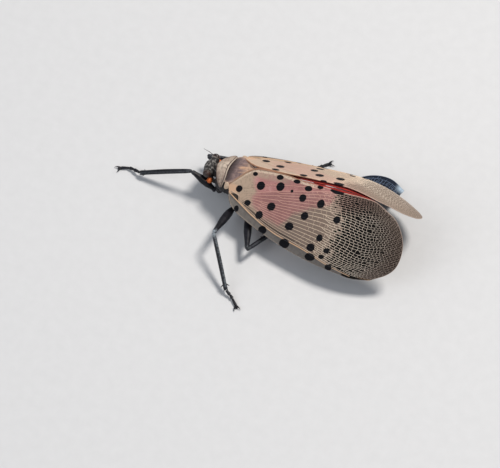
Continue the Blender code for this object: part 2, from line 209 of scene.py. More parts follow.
class Value:
    """A node's output; sums with it add Math nodes."""

    def __init__(self, mix, socket):
        self.mix, self.socket = mix, socket

    def math(self, operation, *values):
        return self.mix.add("ShaderNodeMath", {"operation": operation},
                            dict(enumerate(values)))

    def __add__(self, other):
        return self.math("ADD", self, other)

    def __sub__(self, other):
        return self.math("SUBTRACT", self, other)

    def __rsub__(self, other):
        return self.math("SUBTRACT", other, self)

    def __mul__(self, other):
        return self.math("MULTIPLY", self, other)

    def __truediv__(self, other):
        return self.math("DIVIDE", self, other)

    def __rtruediv__(self, other):
        return self.math("DIVIDE", other, self)

    __radd__, __rmul__ = __add__, __mul__


class Finish:
    """A material in the making; fixed values go on the shader itself."""

    def __init__(self, name, IOR=1.45, **fixed):
        self.material = bpy.data.materials.new(name)
        self.material.use_nodes = True
        self.tree = self.material.node_tree
        self.shader = self.tree.nodes["Principled BSDF"]
        for key, value in {"IOR": IOR, **fixed}.items():
            self.shader.inputs[key.replace("_", " ")].default_value = value
        place = self.add("ShaderNodeTexCoord", {}, {}, "Object")
        self.mm = self.add("ShaderNodeVectorMath", {"operation": "SCALE"},
                           {0: place, "Scale": 1 / MM})

    def add(self, kind, settings, values, out=0):
        node = self.tree.nodes.new(kind)
        for key, value in settings.items():
            if key == "stops":
                stops = node.color_ramp.elements
                while len(stops) < len(value):
                    stops.new(1.0)
                for stop, (at, colour) in zip(stops, value):
                    stop.position, stop.color = at, (*colour, 1.0)
            else:
                setattr(node, key, value)
        for key, value in values.items():
            if isinstance(value, Value):
                self.tree.links.new(value.socket, node.inputs[key])
            elif isinstance(value, tuple) and len(value) == 3 and \
                    node.inputs[key].type == "RGBA":
                node.inputs[key].default_value = (*value, 1.0)
            else:
                node.inputs[key].default_value = value
        return Value(self, node.outputs[out])

    def own(self, name):
        """A number kept on the piece's points."""
        return self.add("ShaderNodeAttribute", {"attribute_name": name}, {},
                        "Fac")

    def noise(self, scale, detail=3.0, rough=0.55, stretch=None):
        where = self.mm
        if stretch:
            where = self.add("ShaderNodeVectorMath",
                             {"operation": "MULTIPLY"},
                             {0: where, 1: stretch})
        return self.add("ShaderNodeTexNoise", {},
                        {"Vector": where, "Scale": scale, "Detail": detail,
                         "Roughness": rough}, "Fac")

    def cells(self, scale):
        return self.add("ShaderNodeTexVoronoi", {},
                        {"Vector": self.mm, "Scale": scale}, "Distance")

    def step(self, value, low, high):
        """0 at low, 1 at high, smooth between; low may be the larger."""
        return self.add("ShaderNodeMapRange",
                        {"interpolation_type": "SMOOTHSTEP"},
                        {"Value": value, "From Min": low, "From Max": high})

    def ramp(self, value, *stops):
        return self.add("ShaderNodeValToRGB", {"stops": stops}, {0: value})

    def blend(self, share, a, b):
        return self.add("ShaderNodeMix", {"data_type": "RGBA"},
                        {0: share, 6: a, 7: b}, 2)

    def coats(self, colour, *coats):
        """A colour with others laid over it, each by its own share."""
        for share, coat in coats:
            colour = self.blend(share, colour, coat)
        return colour

    def feed(self, **inputs):
        for key, value in inputs.items():
            self.tree.links.new(value.socket,
                                self.shader.inputs[key.replace("_", " ")])
        return self.material

    def relief(self, height, deep, strength):
        """A bump of so many millimetres."""
        return self.add("ShaderNodeBump", {},
                        {"Height": height, "Distance": deep * MM,
                         "Strength": strength})


def dark_shell(name, low, high, bloom=(0.20, 0.19, 0.20)):
    """Black horny shell, faintly pitted, with a greyish waxy coat; on the legs
    that coat is painted highlight.
    """
    f = Finish(name, IOR=1.5, Specular_IOR_Level=0.22)
    cloud = f.noise(1.6, 4)
    fine = f.noise(16.0)
    base = f.blend(f.step(cloud, 0.35, 0.7), low, high)
    # the pale coat: waxy bloom on the body, painted highlight on the legs
    wax = f.own("bloom") * f.step(f.noise(5.0, 4), 0.25, 0.75)
    base = f.blend(wax, base, bloom)
    pits = f.cells(14.0)
    bump = f.relief(fine * 0.5 + pits * 0.5, 0.02, 0.7)
    return f.feed(Base_Color=base, Normal=bump,
                  Roughness=0.30 + fine * 0.22 + wax * 0.3)


# cross sections: x, middle height, half width, half height above and below
THORAX = [(3.25, 3.1, 0.0, 0.0, 0.0), (3.45, 3.1, 1.35, 1.2, 0.8),
          (4.2, 3.05, 1.95, 1.78, 1.2), (5.4, 3.0, 2.05, 1.98, 1.4),
          (6.8, 3.1, 1.95, 2.3, 1.45), (7.9, 3.2, 1.7, 2.2, 1.2),
          (8.6, 3.3, 0.0, 0.0, 0.0)]


def trunk(name, stations, sides, rings, swell):
    """A round blank stretched along x over the body's cross sections."""
    obj = sphere(name, sides, rings)
    fine = smooth_path(stations, 120)
    fine[:, 2:] = np.maximum(fine[:, 2:], 0)

    def stretch(p):
        t, turn = polar(p)
        x = stations[0][0] + (stations[-1][0] - stations[0][0]) * t
        mid, wide, up, down = between(x, fine)
        tall = np.where(np.sin(turn) > 0, up, down)
        s = swell(t, turn) * (np.hypot(p[:, 0], p[:, 1]) > 1e-5)
        return np.stack([x, wide * s * np.cos(turn),
                         mid + tall * s * np.sin(turn)], axis=1)

    return face_out(mould(obj, stretch))


def thorax_swell(t, turn):
    """Seams between the three rings and between the side plates."""
    seams = sum(np.exp(-((t - at) / 0.012) ** 2) for at in (0.34, 0.66))
    sides = np.exp(-((np.abs(np.sin(turn)) - 0.45) / 0.08) ** 2)
    return 1 - 0.05 * seams - 0.03 * sides + 0.03 * np.cos(9 * t * pi) ** 2


# each leg's hip: where it leaves the chest, and where the thigh begins
HIPS = {"fore": (3.95, 1.0, 1.9), "mid": (6.0, 1.15, 1.75),
        "hind": (7.55, 1.1, 1.9)}
HIP_ENDS = {"fore": (3.60, 1.45, 1.50), "mid": (6.5, 2.0, 1.4),
            "hind": (7.95, 1.9, 1.45)}
parts = [trunk("chest", THORAX, 56, 60, thorax_swell)]
for pair in HIPS:
    for side in SIDES.values():
        a, b = on_side(side, HIPS[pair]), on_side(side, HIP_ENDS[pair])
        parts.append(limb("hip", [a, (a + b) / 2 + (0.05, 0, -0.06), b],
                          (0.45, 0.56, 0.54, 0.42, 0.3), (1, 0, 0), 20, 24,
                          (0.2, 0.14)))
# the hind ring rises into the hollow under the wings, behind the shield
parts.append(limb("hump", [(7.5, 0, 4.4), (8.6, 0, 5.65), (9.5, 0, 6.35)],
                  (0.8, 0.85, 0.8, 0.45), (0, 1, 0), 20, 24, (0.3, 0.3)))
chest = join("thorax_shell", parts)
at = points_of(chest)
note(chest, "bloom", 0.25 * ease(-at[:, 2], -3.0, -1.2))
settle(chest, dark_shell("thorax_black", (0.012, 0.011, 0.013),
                         (0.035, 0.031, 0.032)), "thorax", "thorax")

# --------------------------------------------------------------- abdomen
# The soft hind body of eight overlapping rings: yellow skin with broad
# black plates on the back and belly and a dusting of white wax.
ABDOMEN = [(8.63, 3.4, 0.0, 0.0, 0.0), (8.9, 3.4, 1.5, 0.95, 1.2),
           (10.0, 3.55, 2.1, 1.35, 1.75), (12.5, 3.7, 2.45, 1.7, 1.95),
           (14.8, 3.9, 2.25, 1.7, 1.8), (16.8, 4.1, 1.65, 1.4, 1.35),
           (18.2, 4.2, 0.95, 0.85, 0.8), (18.9, 4.25, 0.0, 0.0, 0.0)]
SEGMENTS = 8


def abdomen_swell(t, turn):
    """Each ring laps over the next one; a fold runs along both sides."""
    at = (t * SEGMENTS) % 1.0
    lap = -0.055 * ease(at, 0.86, 1.0) - 0.03 * (1 - ease(at, 0.0, 0.16))
    fold = 0.05 * np.exp(-((np.sin(turn) - 0.05) / 0.12) ** 2)
    return 1.0 + lap - fold + 0.012 * np.sin(turn * 14) * np.sin(at * pi)


belly = trunk("abdomen_rings", ABDOMEN, 96, 144, abdomen_swell)
at = points_of(belly)
share = (at[:, 0] - ABDOMEN[0][0]) / (ABDOMEN[-1][0] - ABDOMEN[0][0])
ring = (share * SEGMENTS) % 1.0
wide = between(at[:, 0], ABDOMEN)[1]
aside = np.abs(at[:, 1]) / np.maximum(wide, 0.3)
plates = (ease(ring, 0.05, 0.22) * (1 - ease(ring, 0.66, 0.8))
          * (1 - ease(aside, 0.62, 0.86)))
note(belly, "plate", plates + ease(share, 0.86, 0.93))
note(belly, "wax", ease(ring, 0.7, 0.95) * 0.7 + 0.2)

f = Finish("abdomen_skin")
fine = f.noise(9.0, 4)
yellow = f.ramp(f.noise(2.2), (0.3, (0.50, 0.28, 0.045)),
                (0.7, (0.66, 0.44, 0.11)))
black = f.blend(fine, (0.014, 0.012, 0.012), (0.05, 0.042, 0.036))
dust = f.own("wax") * f.step(f.noise(12.0, 5, 0.7), 0.45, 0.7)
skin = f.coats(yellow,
               (f.step(f.own("plate") + (fine - 0.5) * 0.7, 0.35, 0.62),
                black),
               (dust, (0.72, 0.70, 0.64)))
bump = f.relief(f.noise(22.0, 3, 0.6, stretch=(0.3, 1, 1)), 0.03, 0.8)
settle(belly, f.feed(Base_Color=skin, Normal=bump,
                     Roughness=0.42 + dust * 0.4 + fine * 0.1),
       "abdomen", "abdomen")

# ------------------------------------------------------------------ legs
# Six black walking legs: a stout thigh, a thin four-edged shin with spines,
# a foot of three joints, two claws and a soft pad. Each is one piece.
# Each is given by the places of its knee, ankle, sole, pad and toe.
LEGS = {
    "fore_left": [(0.45, -1.32, 3.42), (-5.6, -2.48, 0.72),
                  (-6.8, -2.15, 0.35), (-7.8, -2.15, 0.2), (-8.5, -2.9, 0.1)],
    "fore_right": [(0.95, 2.0, 2.35), (6.0, 4.1, 0.66),
                   (6.9, 4.4, 0.35), (7.9, 4.6, 0.2), (8.6, 4.8, 0.1)],
    "mid_left": [(6.4, -8.0, 3.8), (10.1, -12.6, 0.7),
                 (10.9, -12.9, 0.35), (11.66, -13.45, 0.2),
                 (12.1, -14.0, 0.1)],
    "mid_right": [(7.7, 4.45, 1.85), (12.5, 6.6, 0.66),
                  (12.85, 7.3, 0.35), (13.2, 7.95, 0.2), (13.85, 8.4, 0.1)],
    "hind_left": [(10.35, -7.5, 2.1), (12.3, -2.2, 0.66),
                  (13.2, -2.0, 0.35), (14.2, -1.85, 0.2), (15.0, -1.6, 0.1)],
    "hind_right": [(11.0, 5.1, 1.6), (16.5, 4.2, 0.66),
                   (17.4, 4.1, 0.35), (18.4, 4.0, 0.2), (19.2, 3.9, 0.1)],
}
THIGH = {"fore": 0.48, "mid": 0.47, "hind": 0.45}


def four_edges(t, turn):
    """Section of a shin: flat sides meeting in four low keels."""
    return 0.93 + 0.12 * np.abs(np.cos(2 * turn)) ** 3


def thigh_sides(t, turn):
    return 1.0 + 0.05 * np.abs(np.cos(2 * turn)) ** 4


def spikes(name, roots, tips, radius):
    """Many thin four-sided spines or hairs as one mesh."""
    roots, tips = np.array(roots, float), np.array(tips, float)
    way = unit(tips - roots)
    side = unit(np.cross(way, (0.3, 0.5, 0.81)))
    up = np.cross(way, side)
    ring = [roots + side * radius * cos(k * pi / 2)
            + up * radius * sin(k * pi / 2) for k in range(4)]
    points = np.stack([*ring, tips], axis=1).reshape(-1, 3)
    faces = []
    for n in range(0, len(points), 5):
        faces += [(n + (k + 1) % 4, n + k, n + 4)[::-1] for k in range(4)]
        faces.append((n + 3, n + 2, n + 1, n))
    mesh = bpy.data.meshes.new(name)
    mesh.from_pydata(points.tolist(), [], faces)
    obj = bpy.data.objects.new(name, mesh)
    bpy.context.scene.collection.objects.link(obj)
    return obj


# the legs' pale blue-grey coat colour is a painted highlight
leg_black = dark_shell("leg_black", (0.003, 0.003, 0.005),
                       (0.011, 0.010, 0.015), (0.30, 0.34, 0.38))
END_SPINES, HAIRS = 8, 150                      # on each shin
for leg, points in LEGS.items():
    pair, word = leg.split("_")
    side, big = SIDES[word], THIGH[pair]
    knee, ankle, sole, pad, toe = [np.array(p) for p in points]
    hip = on_side(side, HIP_ENDS[pair])
    hinge = unit(np.cross(knee - hip, ankle - knee))
    way = knee - hip
    parts = [
        limb("trochanter", [hip, hip + way * 0.06, hip + way * 0.13],
             (0.26, 0.31, 0.31, 0.24), hinge, 16, 12, (0.3, 0.3)),
        limb("thigh", [hip + way * 0.07, (hip + knee) / 2 + (0, 0, 0.12),
                       knee],
             (0.2, 0.3, big * 0.94, big, big * 0.97, 0.36, 0.28, 0.27),
             hinge, 24, 44, (0.05, 0.09), thigh_sides)]
    start = knee - unit(ankle - knee) * 0.10
    shin_path = [start, (start + ankle) / 2 + (0, 0, 0.08), ankle]
    broad = 1.18 if pair == "fore" else 1.0
    parts.append(limb("shin", shin_path,
                      broad * np.array((0.19, 0.24, 0.25, 0.255, 0.26, 0.26,
                                        0.25, 0.24, 0.27)),
                      hinge, 24, 60, (0.035, 0.03), four_edges))
    # spines round the end of the shin
    run = unit(ankle - knee)
    out = unit(np.cross(run, hinge))
    if out[2] < 0:
        out = -out
    roots, tips = [], []
    for k in range(END_SPINES):
        turn = 2 * pi * k / END_SPINES
        way = out * cos(turn) + hinge * sin(turn)
        roots.append(ankle - run * 0.16 + way * 0.17)
        tips.append(ankle + run * 0.16 + way * 0.29)
    # thorns: a row on a hind shin, one on each side of the others' ends
    cross = unit(np.cross(run, (0, 0, 1))) * side
    for k in range(4 if pair == "hind" else 2):
        share = 0.45 + 0.15 * k if pair == "hind" else 0.90
        way = cross if pair == "hind" else cross * (1 - 2 * k)
        at = start + (ankle - start) * share
        parts.append(limb("thorn", [at, at + way * 0.32 + run * 0.12,
                                    at + way * 0.52 + run * 0.30],
                          (0.13, 0.09, 0.05, 0.015), hinge, 8, 10, (0, 0)))
    parts.append(spikes("end_spines", roots, tips, 0.045))
    # short hairs along the keels of the shin
    roots, tips = [], []
    line = smooth_path(shin_path, 60)
    for _ in range(HAIRS):
        turn = pi / 2 * dice.integers(4) + dice.normal(0, 0.25)
        way = out * cos(turn) + hinge * sin(turn)
        at = line[dice.integers(3, 58)] + run * dice.uniform(-0.05, 0.05)
        roots.append(at + way * 0.22)
        tips.append(at + way * dice.uniform(0.30, 0.35)
                    + run * dice.uniform(0.08, 0.14))
    parts.append(spikes("shin_hairs", roots, tips, 0.012))
    # the foot: two short joints and a longer one
    stops = [ankle * 0.95 + sole * 0.05, ankle * 0.25 + sole * 0.75,
             sole * 0.7 + pad * 0.3, pad + (toe - pad) * 0.45]
    for a, b, r in zip(stops, stops[1:], (0.2, 0.19, 0.17)):
        parts.append(limb("foot_joint", [a, (a + b) / 2 + (0, 0, 0.03), b],
                          (r * 0.72, r * 0.8, r * 0.95, r * 1.12), hinge,
                          16, 18, (0.08, 0.12)))
    ahead = unit((toe - pad) * (1, 1, 0))
    across = np.array((-ahead[1], ahead[0], 0))
    root = (pad + (toe - pad) * 0.4) * (1, 1, 0) + (0, 0, 0.17)
    parts.append(limb("pad", [root - ahead * 0.05,
                              root + ahead * 0.24 - (0, 0, 0.03),
                              root + ahead * 0.42 - (0, 0, 0.03)],
                      (0.12, 0.17, 0.19, 0.16), (0, 0, 1), 16, 14,
                      (0.2, 0.3)))
    for turn in (-1, 1):
        bends = [root + ahead * far + across * wide * turn + (0, 0, high)
                 for far, wide, high in ((0, 0, 0), (0.35, 0.22, 0.10),
                                         (0.6, 0.34, 0.02),
                                         (0.72, 0.35, -0.08))]
        parts.append(limb("claw", bends, (0.10, 0.10, 0.07, 0.04, 0.012),
                          (0, 0, 1), 10, 18, (0.1, 0)))
    whole = join("leg_" + leg + "_shell", parts)
    at = points_of(whole)
    # nothing reaches below the floor
    mould(whole, lambda p: np.maximum(p, (-np.inf, -np.inf, 0)))
    near = np.linalg.norm(at - knee, axis=1)
    # painted highlight: a pale glint round the left middle knee (faint on the
    # other legs) and a lit line along one keel of each shin
    pale = 1.0 if leg == "mid_left" else 0.15
    down = (at - knee) @ run / np.linalg.norm(ankle - knee)
    lit = np.exp(-(((at - knee) @ np.cross(run, hinge) - 0.12) / 0.1) ** 2)
    note(whole, "bloom", pale * (1 - ease(near, 0.25, 0.75)) + 0.03
         + (0.1 + 0.35 * pale) * lit * (down > 0.03) * (down < 0.98))
    settle(whole, leg_black, "leg", *[
        "leg_" + leg + "_" + part for part in ("femur", "tibia", "tarsus")])

# ------------------------------------------------------------------ head
# A small upright capsule: the crown, the long forehead with its two keels
# and the clypeus below it, all grey-black with pale mottling. Each lump is
# given by its middle and its half sizes; a remesh makes them one skin.
SKULL = ((2.3, 0, 3.5), (0.70, 1.12, 1.08))
FRONS = ((2.02, 0, 2.95), (0.52, 0.66, 1.02))
CLYPEUS = ((2.08, 0, 1.98), (0.36, 0.44, 0.58))
EYE = ((2.37, 1.22, 3.98), (0.50, 0.42, 0.50))
PEDICEL = ((2.76, 1.36, 3.0), (0.31, 0.31, 0.31))


def ball(name, centre, half, cols=32, rows=24):
    return mould(sphere(name, cols, rows), lambda p: p * half + centre)


parts = [ball("crown", *SKULL), ball("forehead", *FRONS),
         ball("clypeus", *CLYPEUS),
         limb("neck", [(2.4, 0, 3.4), (3.2, 0, 3.3), (3.6, 0, 3.2)],
              (0.7, 0.75, 0.7), (0, 0, 1), 24, 12, (0.1, 0.1))]
for side in SIDES.values():
    parts.append(ball("cheek", (2.62, side * 0.95, 2.95),
                      (0.42, 0.28, 0.62)))
    parts.append(ball("socket", (2.43, side * 0.82, 3.92),
                      (0.50, 0.50, 0.50)))
skull = join("head_capsule", parts)
modify(skull, "REMESH", mode="VOXEL", voxel_size=0.035)
modify(skull, "SMOOTH", factor=0.5, iterations=8)


def carve_face(p):
    """Keels down the forehead, dents for the eyes, a seam at the clypeus."""
    x, y, z = p.T
    middle = np.array((2.35, 0, 3.1))
    way = unit(p - middle)
    face = ease(-way[:, 0], 0.25, 0.7)
    lift = np.zeros(len(p))
    height = (z - 2.0) / 2.2
    keel = 0.40 * np.sqrt(np.clip(1 - (height - 0.45) ** 2 * 3.2, 0.05, 1))
    for line in (-1, 1):
        lift += 0.075 * np.exp(-((y - line * keel) / 0.055) ** 2) * face
    lift += 0.05 * np.exp(-(y / 0.05) ** 2) * face * ease(z, 1.6, 2.2)
    lift -= 0.04 * np.exp(-((z - 2.24 + 0.25 * y * y) / 0.05) ** 2) * face
    lift += 0.05 * np.exp(-((z - 4.05 - 0.25 * (x - 2.0)) / 0.07) ** 2) * face
    for side in SIDES.values():
        d = np.linalg.norm((p - on_side(side, EYE[0])) / EYE[1], axis=1)
        lift += 0.07 * np.exp(-((d - 1.22) / 0.12) ** 2)
        lift -= 0.10 * ease(-d, -1.12, -0.6)
        d = np.linalg.norm(p - on_side(side, PEDICEL[0]), axis=1)
        lift -= 0.10 * ease(-d, -0.42, -0.2)
    return p + way * lift[:, None]


mould(skull, carve_face)
at = points_of(skull)
note(skull, "bloom", 0.55 * ease(at[:, 2], 3.6, 4.4)
     + 0.45 * np.exp(-((np.abs(at[:, 1]) - 0.4) / 0.08) ** 2))
f = Finish("head_shell", IOR=1.5, Specular_IOR_Level=0.35)
cloud = f.noise(3.8, 5, 0.7)
fine = f.noise(18.0)
dark = f.blend(fine, (0.006, 0.005, 0.006), (0.028, 0.024, 0.023))
pale = f.blend(f.noise(8.0), (0.13, 0.11, 0.10), (0.40, 0.38, 0.36))
mottle = f.step(cloud + f.own("bloom") * 0.14, 0.58, 0.68) * 0.85
bump = f.relief(fine * 0.6 + f.cells(11.0) * 0.5, 0.035, 0.8)
settle(skull, f.feed(Base_Color=f.blend(mottle, dark, pale),
                     Normal=bump, Roughness=0.42 + cloud * 0.3),
       "head", "head")

# ------------------------------------------------------------------ eyes
# Two bulging compound eyes, dark brown-grey and glossy, with hundreds of
# tiny six-sided lenses and a pale ring at the rim.
f = Finish("eye_lenses", IOR=1.5, Specular_IOR_Level=0.3,
           Coat_Weight=0.35, Coat_Roughness=0.10)
lenses = f.cells(22.0)
bands = f.noise(2.0, 2, stretch=(1, 1, 3.5))
colour = f.ramp(bands, (0.3, (0.008, 0.004, 0.004)),
                (0.52, (0.030, 0.014, 0.011)), (0.72, (0.065, 0.034, 0.026)))
colour = f.blend(f.own("rim"), colour, (0.26, 0.23, 0.20))
eye_finish = f.feed(Base_Color=colour, Roughness=0.22 + lenses * 0.25,
                    Normal=f.relief(lenses, 0.012, 0.6))
for word, side in SIDES.items():
    centre = on_side(side, EYE[0])
    eye = ball("eye_" + word + "_dome", centre, EYE[1], 48, 36)
    inward = (unit(points_of(eye) - centre)
              @ unit(np.array((2.3, 0, 3.6)) - centre))
    note(eye, "rim", ease(inward, -0.05, 0.25))
    settle(eye, eye_finish, "eye", "eye_" + word)

# -------------------------------------------------------------- feelers
# Below each eye a short collar carries a round orange bulb, pitted with
# raised sense pores, and from its end a hair-fine bristle.
HAIR_TIPS = {"left": (0.5, -1.45, 3.7), "right": (0.2, 2.4, 2.85)}
f = Finish("feeler_orange", IOR=1.5)
pores = f.cells(9.0)
orange = f.blend(f.step(pores, 0.15, 0.4), (0.48, 0.075, 0.012),
                 (0.66, 0.145, 0.02))
colour = f.blend(f.own("hair"), orange, (0.05, 0.035, 0.03))
feeler_finish = f.feed(Base_Color=colour,
                       Roughness=0.42 + f.noise(20.0) * 0.15,
                       Normal=f.relief(1.0 - pores, 0.05, 1.0))
for word, side in SIDES.items():
    bulb = on_side(side, PEDICEL[0])
    end = np.array(HAIR_TIPS[word])
    lump = ball("bulb", bulb, PEDICEL[1], 48, 36)

    def dimple(p):
        """Fine knobs over the bulb, flattened where the bristle leaves."""
        way = unit(p - bulb)
        knobs = (np.sin(way[:, 0] * 19) * np.sin(way[:, 1] * 19)
                 * np.sin(way[:, 2] * 19 + 1))
        ahead = way @ unit(np.array((-0.8, side * 0.5, 0.2)))
        press = 0.018 * knobs - 0.05 * ease(ahead, 0.8, 1.0)
        return p + way * press[:, None]

    mould(lump, dimple)
    root = bulb + np.array((-0.22, side * 0.15, 0.05))
    foot = limb("socket_ring", [bulb + (0.0, -side * 0.42, 0.1), bulb
                                + (0, -side * 0.1, 0.02)],
                (0.24, 0.22), (0, 0, 1), 24, 10, (0.3, 0.3))
    hair = limb("bristle", [root, bulb + (-0.45, side * 0.3, 0.1),
                            bulb * 0.4 + end * 0.6 + (0, side * 0.15, 0.1),
                            end],
                (0.085, 0.07, 0.045, 0.038, 0.032, 0.026, 0.018),
                (0, 0, 1), 12, 48, (0.02, 0.02))
    base = limb("bristle_base", [root + (0.05, -side * 0.03, 0), root
                                 + (-0.2, side * 0.13, 0.05)],
                (0.12, 0.09, 0.05), (0, 0, 1), 14, 12, (0.1, 0.2))
    counts = [len(o.data.vertices) for o in (lump, foot, hair, base)]
    whole = join("antenna_" + word + "_feeler", [lump, foot, hair, base])
    note(whole, "hair", np.repeat((0.0, 0.6, 1.0, 0.35), counts))
    settle(whole, feeler_finish, "antenna", "antenna_" + word)

# ------------------------------------------------------------------ beak
# The sucking beak: a jointed black sheath hinged under the clypeus and
# folded back between the legs, with a groove for the stylets.
def sheath(t, turn):
    joints = sum(np.exp(-((t - at) / 0.012) ** 2) for at in (0.3, 0.62))
    return 1 - 0.12 * joints - 0.16 * np.exp(-((turn - pi / 2) / 0.3) ** 2)


beak = limb("beak_sheath", [(2.1, 0, 1.5), (2.25, 0, 1.08), (2.8, 0, 0.92),
                            (4.0, 0, 1.0), (6.2, 0, 1.05)],
            (0.24, 0.27, 0.26, 0.25, 0.23, 0.21, 0.17, 0.08), (0, 1, 0),
            24, 90, (0.04, 0.03), sheath)
note(beak, "bloom", np.full(len(beak.data.vertices), 0.25))
settle(beak, dark_shell("beak_black", (0.010, 0.009, 0.010),
                        (0.05, 0.04, 0.036)), "thorax", "beak")

# -------------------------------------------------------------- pronotum
# The collar behind the head: a saddle-shaped plate of leathery tan shell,
# rounded in front, nearly straight behind, with a pale rolled rim.
def plate(name, cols, rows, place, thick):
    """A grid pressed into a curved plate and closed into a thin shell.
    place(s, t) gives its points, s from 0 to 1 along the body and t from
    -1 to 1 across it; both are given back for the whole shell."""
    obj = begin(name, bpy.ops.mesh.primitive_grid_add, x_subdivisions=cols,
                y_subdivisions=rows, size=2.0)
    flat = points_of(obj)
    s, t = (flat[:, 0] + 1) / 2, flat[:, 1]
    mould(obj, lambda p: place(s, t))
    modify(obj, "SOLIDIFY", thickness=thick, offset=-1.0, use_rim=True)
    count = len(obj.data.vertices)
    return obj, np.resize(s, count), np.resize(t, count)


def collar(s, t):
    turn = radians(72) * t
    front = 3.12 + 1.15 * np.abs(t) ** 1.25
    rear = np.interp(np.abs(t), (0, 0.2, 0.42, 0.62, 0.82, 1.0),
                     (4.66, 4.69, 4.79, 4.80, 4.72, 4.62))
    x = front + (rear - front) * s
    swell = 0.10 * np.sin(pi * s) - 0.14 * (1 - s) ** 2
    # a keel in the middle, two dents beside it, and the rolled rear rim
    swell = swell + 0.05 * np.exp(-(t / 0.03) ** 2) * np.sin(pi * s)
    for k in (-1, 1):
        swell = swell - 0.06 * np.exp(-((t - 0.17 * k) / 0.07) ** 2
                                      - ((s - 0.42) / 0.18) ** 2)
    swell = swell - 0.05 * np.exp(-((s - 0.87) / 0.035) ** 2)
    radius = 2.40 + swell
    return np.stack([x, radius * np.sin(turn),
                     3.4 + (radius - 0.67) * np.cos(turn)
                     + 0.22 * (x - 4.0)], axis=1)


saddle, s, t = plate("pronotum_plate", 56, 112, collar, 0.14)
note(saddle, "across", np.abs(t))
note(saddle, "along", s)
f = Finish("collar_tan")
cloud = f.noise(1.1, 3, 0.5)
mottle = f.noise(3.2, 4, 0.55)
fine = f.noise(22.0)
along = f.own("along")
# painted shade: the ramp darkens the collar towards its low sides, where it
# turns away from the light
tan = f.coats(
    f.ramp(cloud + f.own("across") * -0.42 + 0.20,
           (0.25, (0.13, 0.11, 0.105)), (0.45, (0.30, 0.22, 0.175)),
           (0.72, (0.56, 0.46, 0.37))),
    (f.step(mottle + cloud * 0.5, 0.70, 1.0) * 0.8, (0.105, 0.072, 0.055)),
    (f.step(along, 0.10, 0.02) * 0.7, (0.10, 0.05, 0.042)),
    (f.step(along, 0.80, 0.86) * f.step(along, 0.94, 0.88),
     (0.085, 0.055, 0.045)),
    (f.step(along, 0.90, 0.95) * 0.8, (0.46, 0.38, 0.31)))
bump = f.relief(fine * 0.4 + mottle * 0.8, 0.07, 0.9)
settle(saddle, f.feed(Base_Color=tan, Normal=bump,
                      Roughness=0.5 + mottle * 0.25),
       "collar", "pronotum")

# ------------------------------------------------------------- mesonotum
# The shield between collar and wings: mauve-brown shell with three low
# orange-tan keels, drawn out behind into the pointed scutellum.
# Its half width for each x.
SHIELD = [(4.55, 1.6), (5.06, 1.98), (5.31, 2.0), (5.77, 1.82),
          (6.26, 1.42), (6.64, 1.05), (7.14, 0.58), (7.6, 0.26), (8.1, 0.1)]


def shield(s, t):
    x = SHIELD[0][0] + (SHIELD[-1][0] - SHIELD[0][0]) * s
    y = between(x, SHIELD)[0] * t
    crown = 5.35 + 0.5 * (x - 5.0) - 0.22 * (1 - s) ** 8
    keels = sum(high * np.exp(-((y - at) / 0.07) ** 2)
                for at, high in ((0, 0.08), (-0.62, 0.06), (0.62, 0.06)))
    z = (crown - 0.14 * y ** 2 + keels * (1 - ease(s, 0.6, 0.9))
         - 0.05 * np.exp(-((s - 0.66 - 0.2 * np.abs(t)) / 0.03) ** 2))
    rim = 0.04 * ease(np.abs(t), 0.88, 1.0)
    return np.stack([x, y, z + rim - 0.03], axis=1)


back, s, t = plate("mesonotum_shield", 90, 80, shield, 0.16)
at = points_of(back)
note(back, "keels", sum(np.exp(-((at[:, 1] - k) / w) ** 2) * h for k, w, h in
                        ((0.05, 0.26, 1.0), (-0.62, 0.10, 0.7),
                         (0.62, 0.10, 0.6))) * ease(s, 0.12, 0.5))
note(back, "edge", ease(np.abs(t), 0.8, 0.97))
note(back, "along", s)
f = Finish("shield_mauve")
cloud = f.noise(2.4, 4, 0.6)
streak = f.noise(3.0, 4, 0.6, stretch=(0.6, 4.0, 1.0))
along = f.own("along")
mauve = f.coats(
    f.ramp(cloud, (0.3, (0.125, 0.082, 0.082)), (0.7, (0.30, 0.205, 0.185))),
    (f.step(along, 0.36, 0.12) * 0.85, (0.045, 0.032, 0.034)),
    (f.step(f.own("keels") + (streak - 0.5) * 1.1, 0.35, 0.85),
     (0.56, 0.34, 0.22)),
    (f.step(along + (streak - 0.5) * 0.5, 0.50, 0.70) * 0.8,
     (0.50, 0.33, 0.23)),
    (f.own("edge") * 0.8, (0.42, 0.29, 0.23)))
bump = f.relief(streak * 0.7 + f.noise(20.0) * 0.4, 0.05, 0.8)
settle(back, f.feed(Base_Color=mauve, Normal=bump,
                    Roughness=0.45 + cloud * 0.2), "shield", "mesonotum")

# --------------------------------------------------------------- tegulae
# A small shell-like scale over each wing hinge, tan and a little hairy.
# Each is a ball pressed flat, with a lip all round.
f = Finish("scale_tan")
cloud = f.noise(6.0, 4, 0.6)
colour = f.ramp(cloud, (0.3, (0.40, 0.28, 0.20)), (0.7, (0.62, 0.47, 0.35)))
scale_finish = f.feed(Base_Color=colour, Roughness=0.55 + cloud * 0.2,
                      Normal=f.relief(f.noise(18.0, 4), 0.05, 0.9))
for word, side in SIDES.items():
    scale = ball("tegula_" + word + "_scale", (0, 0, 0), (1, 1, 1), 40, 30)

    def cup(p):
        """A flat egg lying down the shoulder, with a lip all round."""
        x, y, z = p.T
        down = y * 0.44 * (1 - 0.2 * x)
        out = z * 0.19 + 0.05 * np.exp(-((np.hypot(x, y) - 0.86) / 0.1) ** 2)
        return np.stack([x * 0.31 + (5.33 if side < 0 else 5.62),
                         side * (2.17 + down * 0.66 + out * 0.75),
                         4.72 - down * 0.75 + out * 0.66], axis=1)

    mould(scale, cup)
    settle(scale, scale_finish, "tegula", "tegula_" + word)

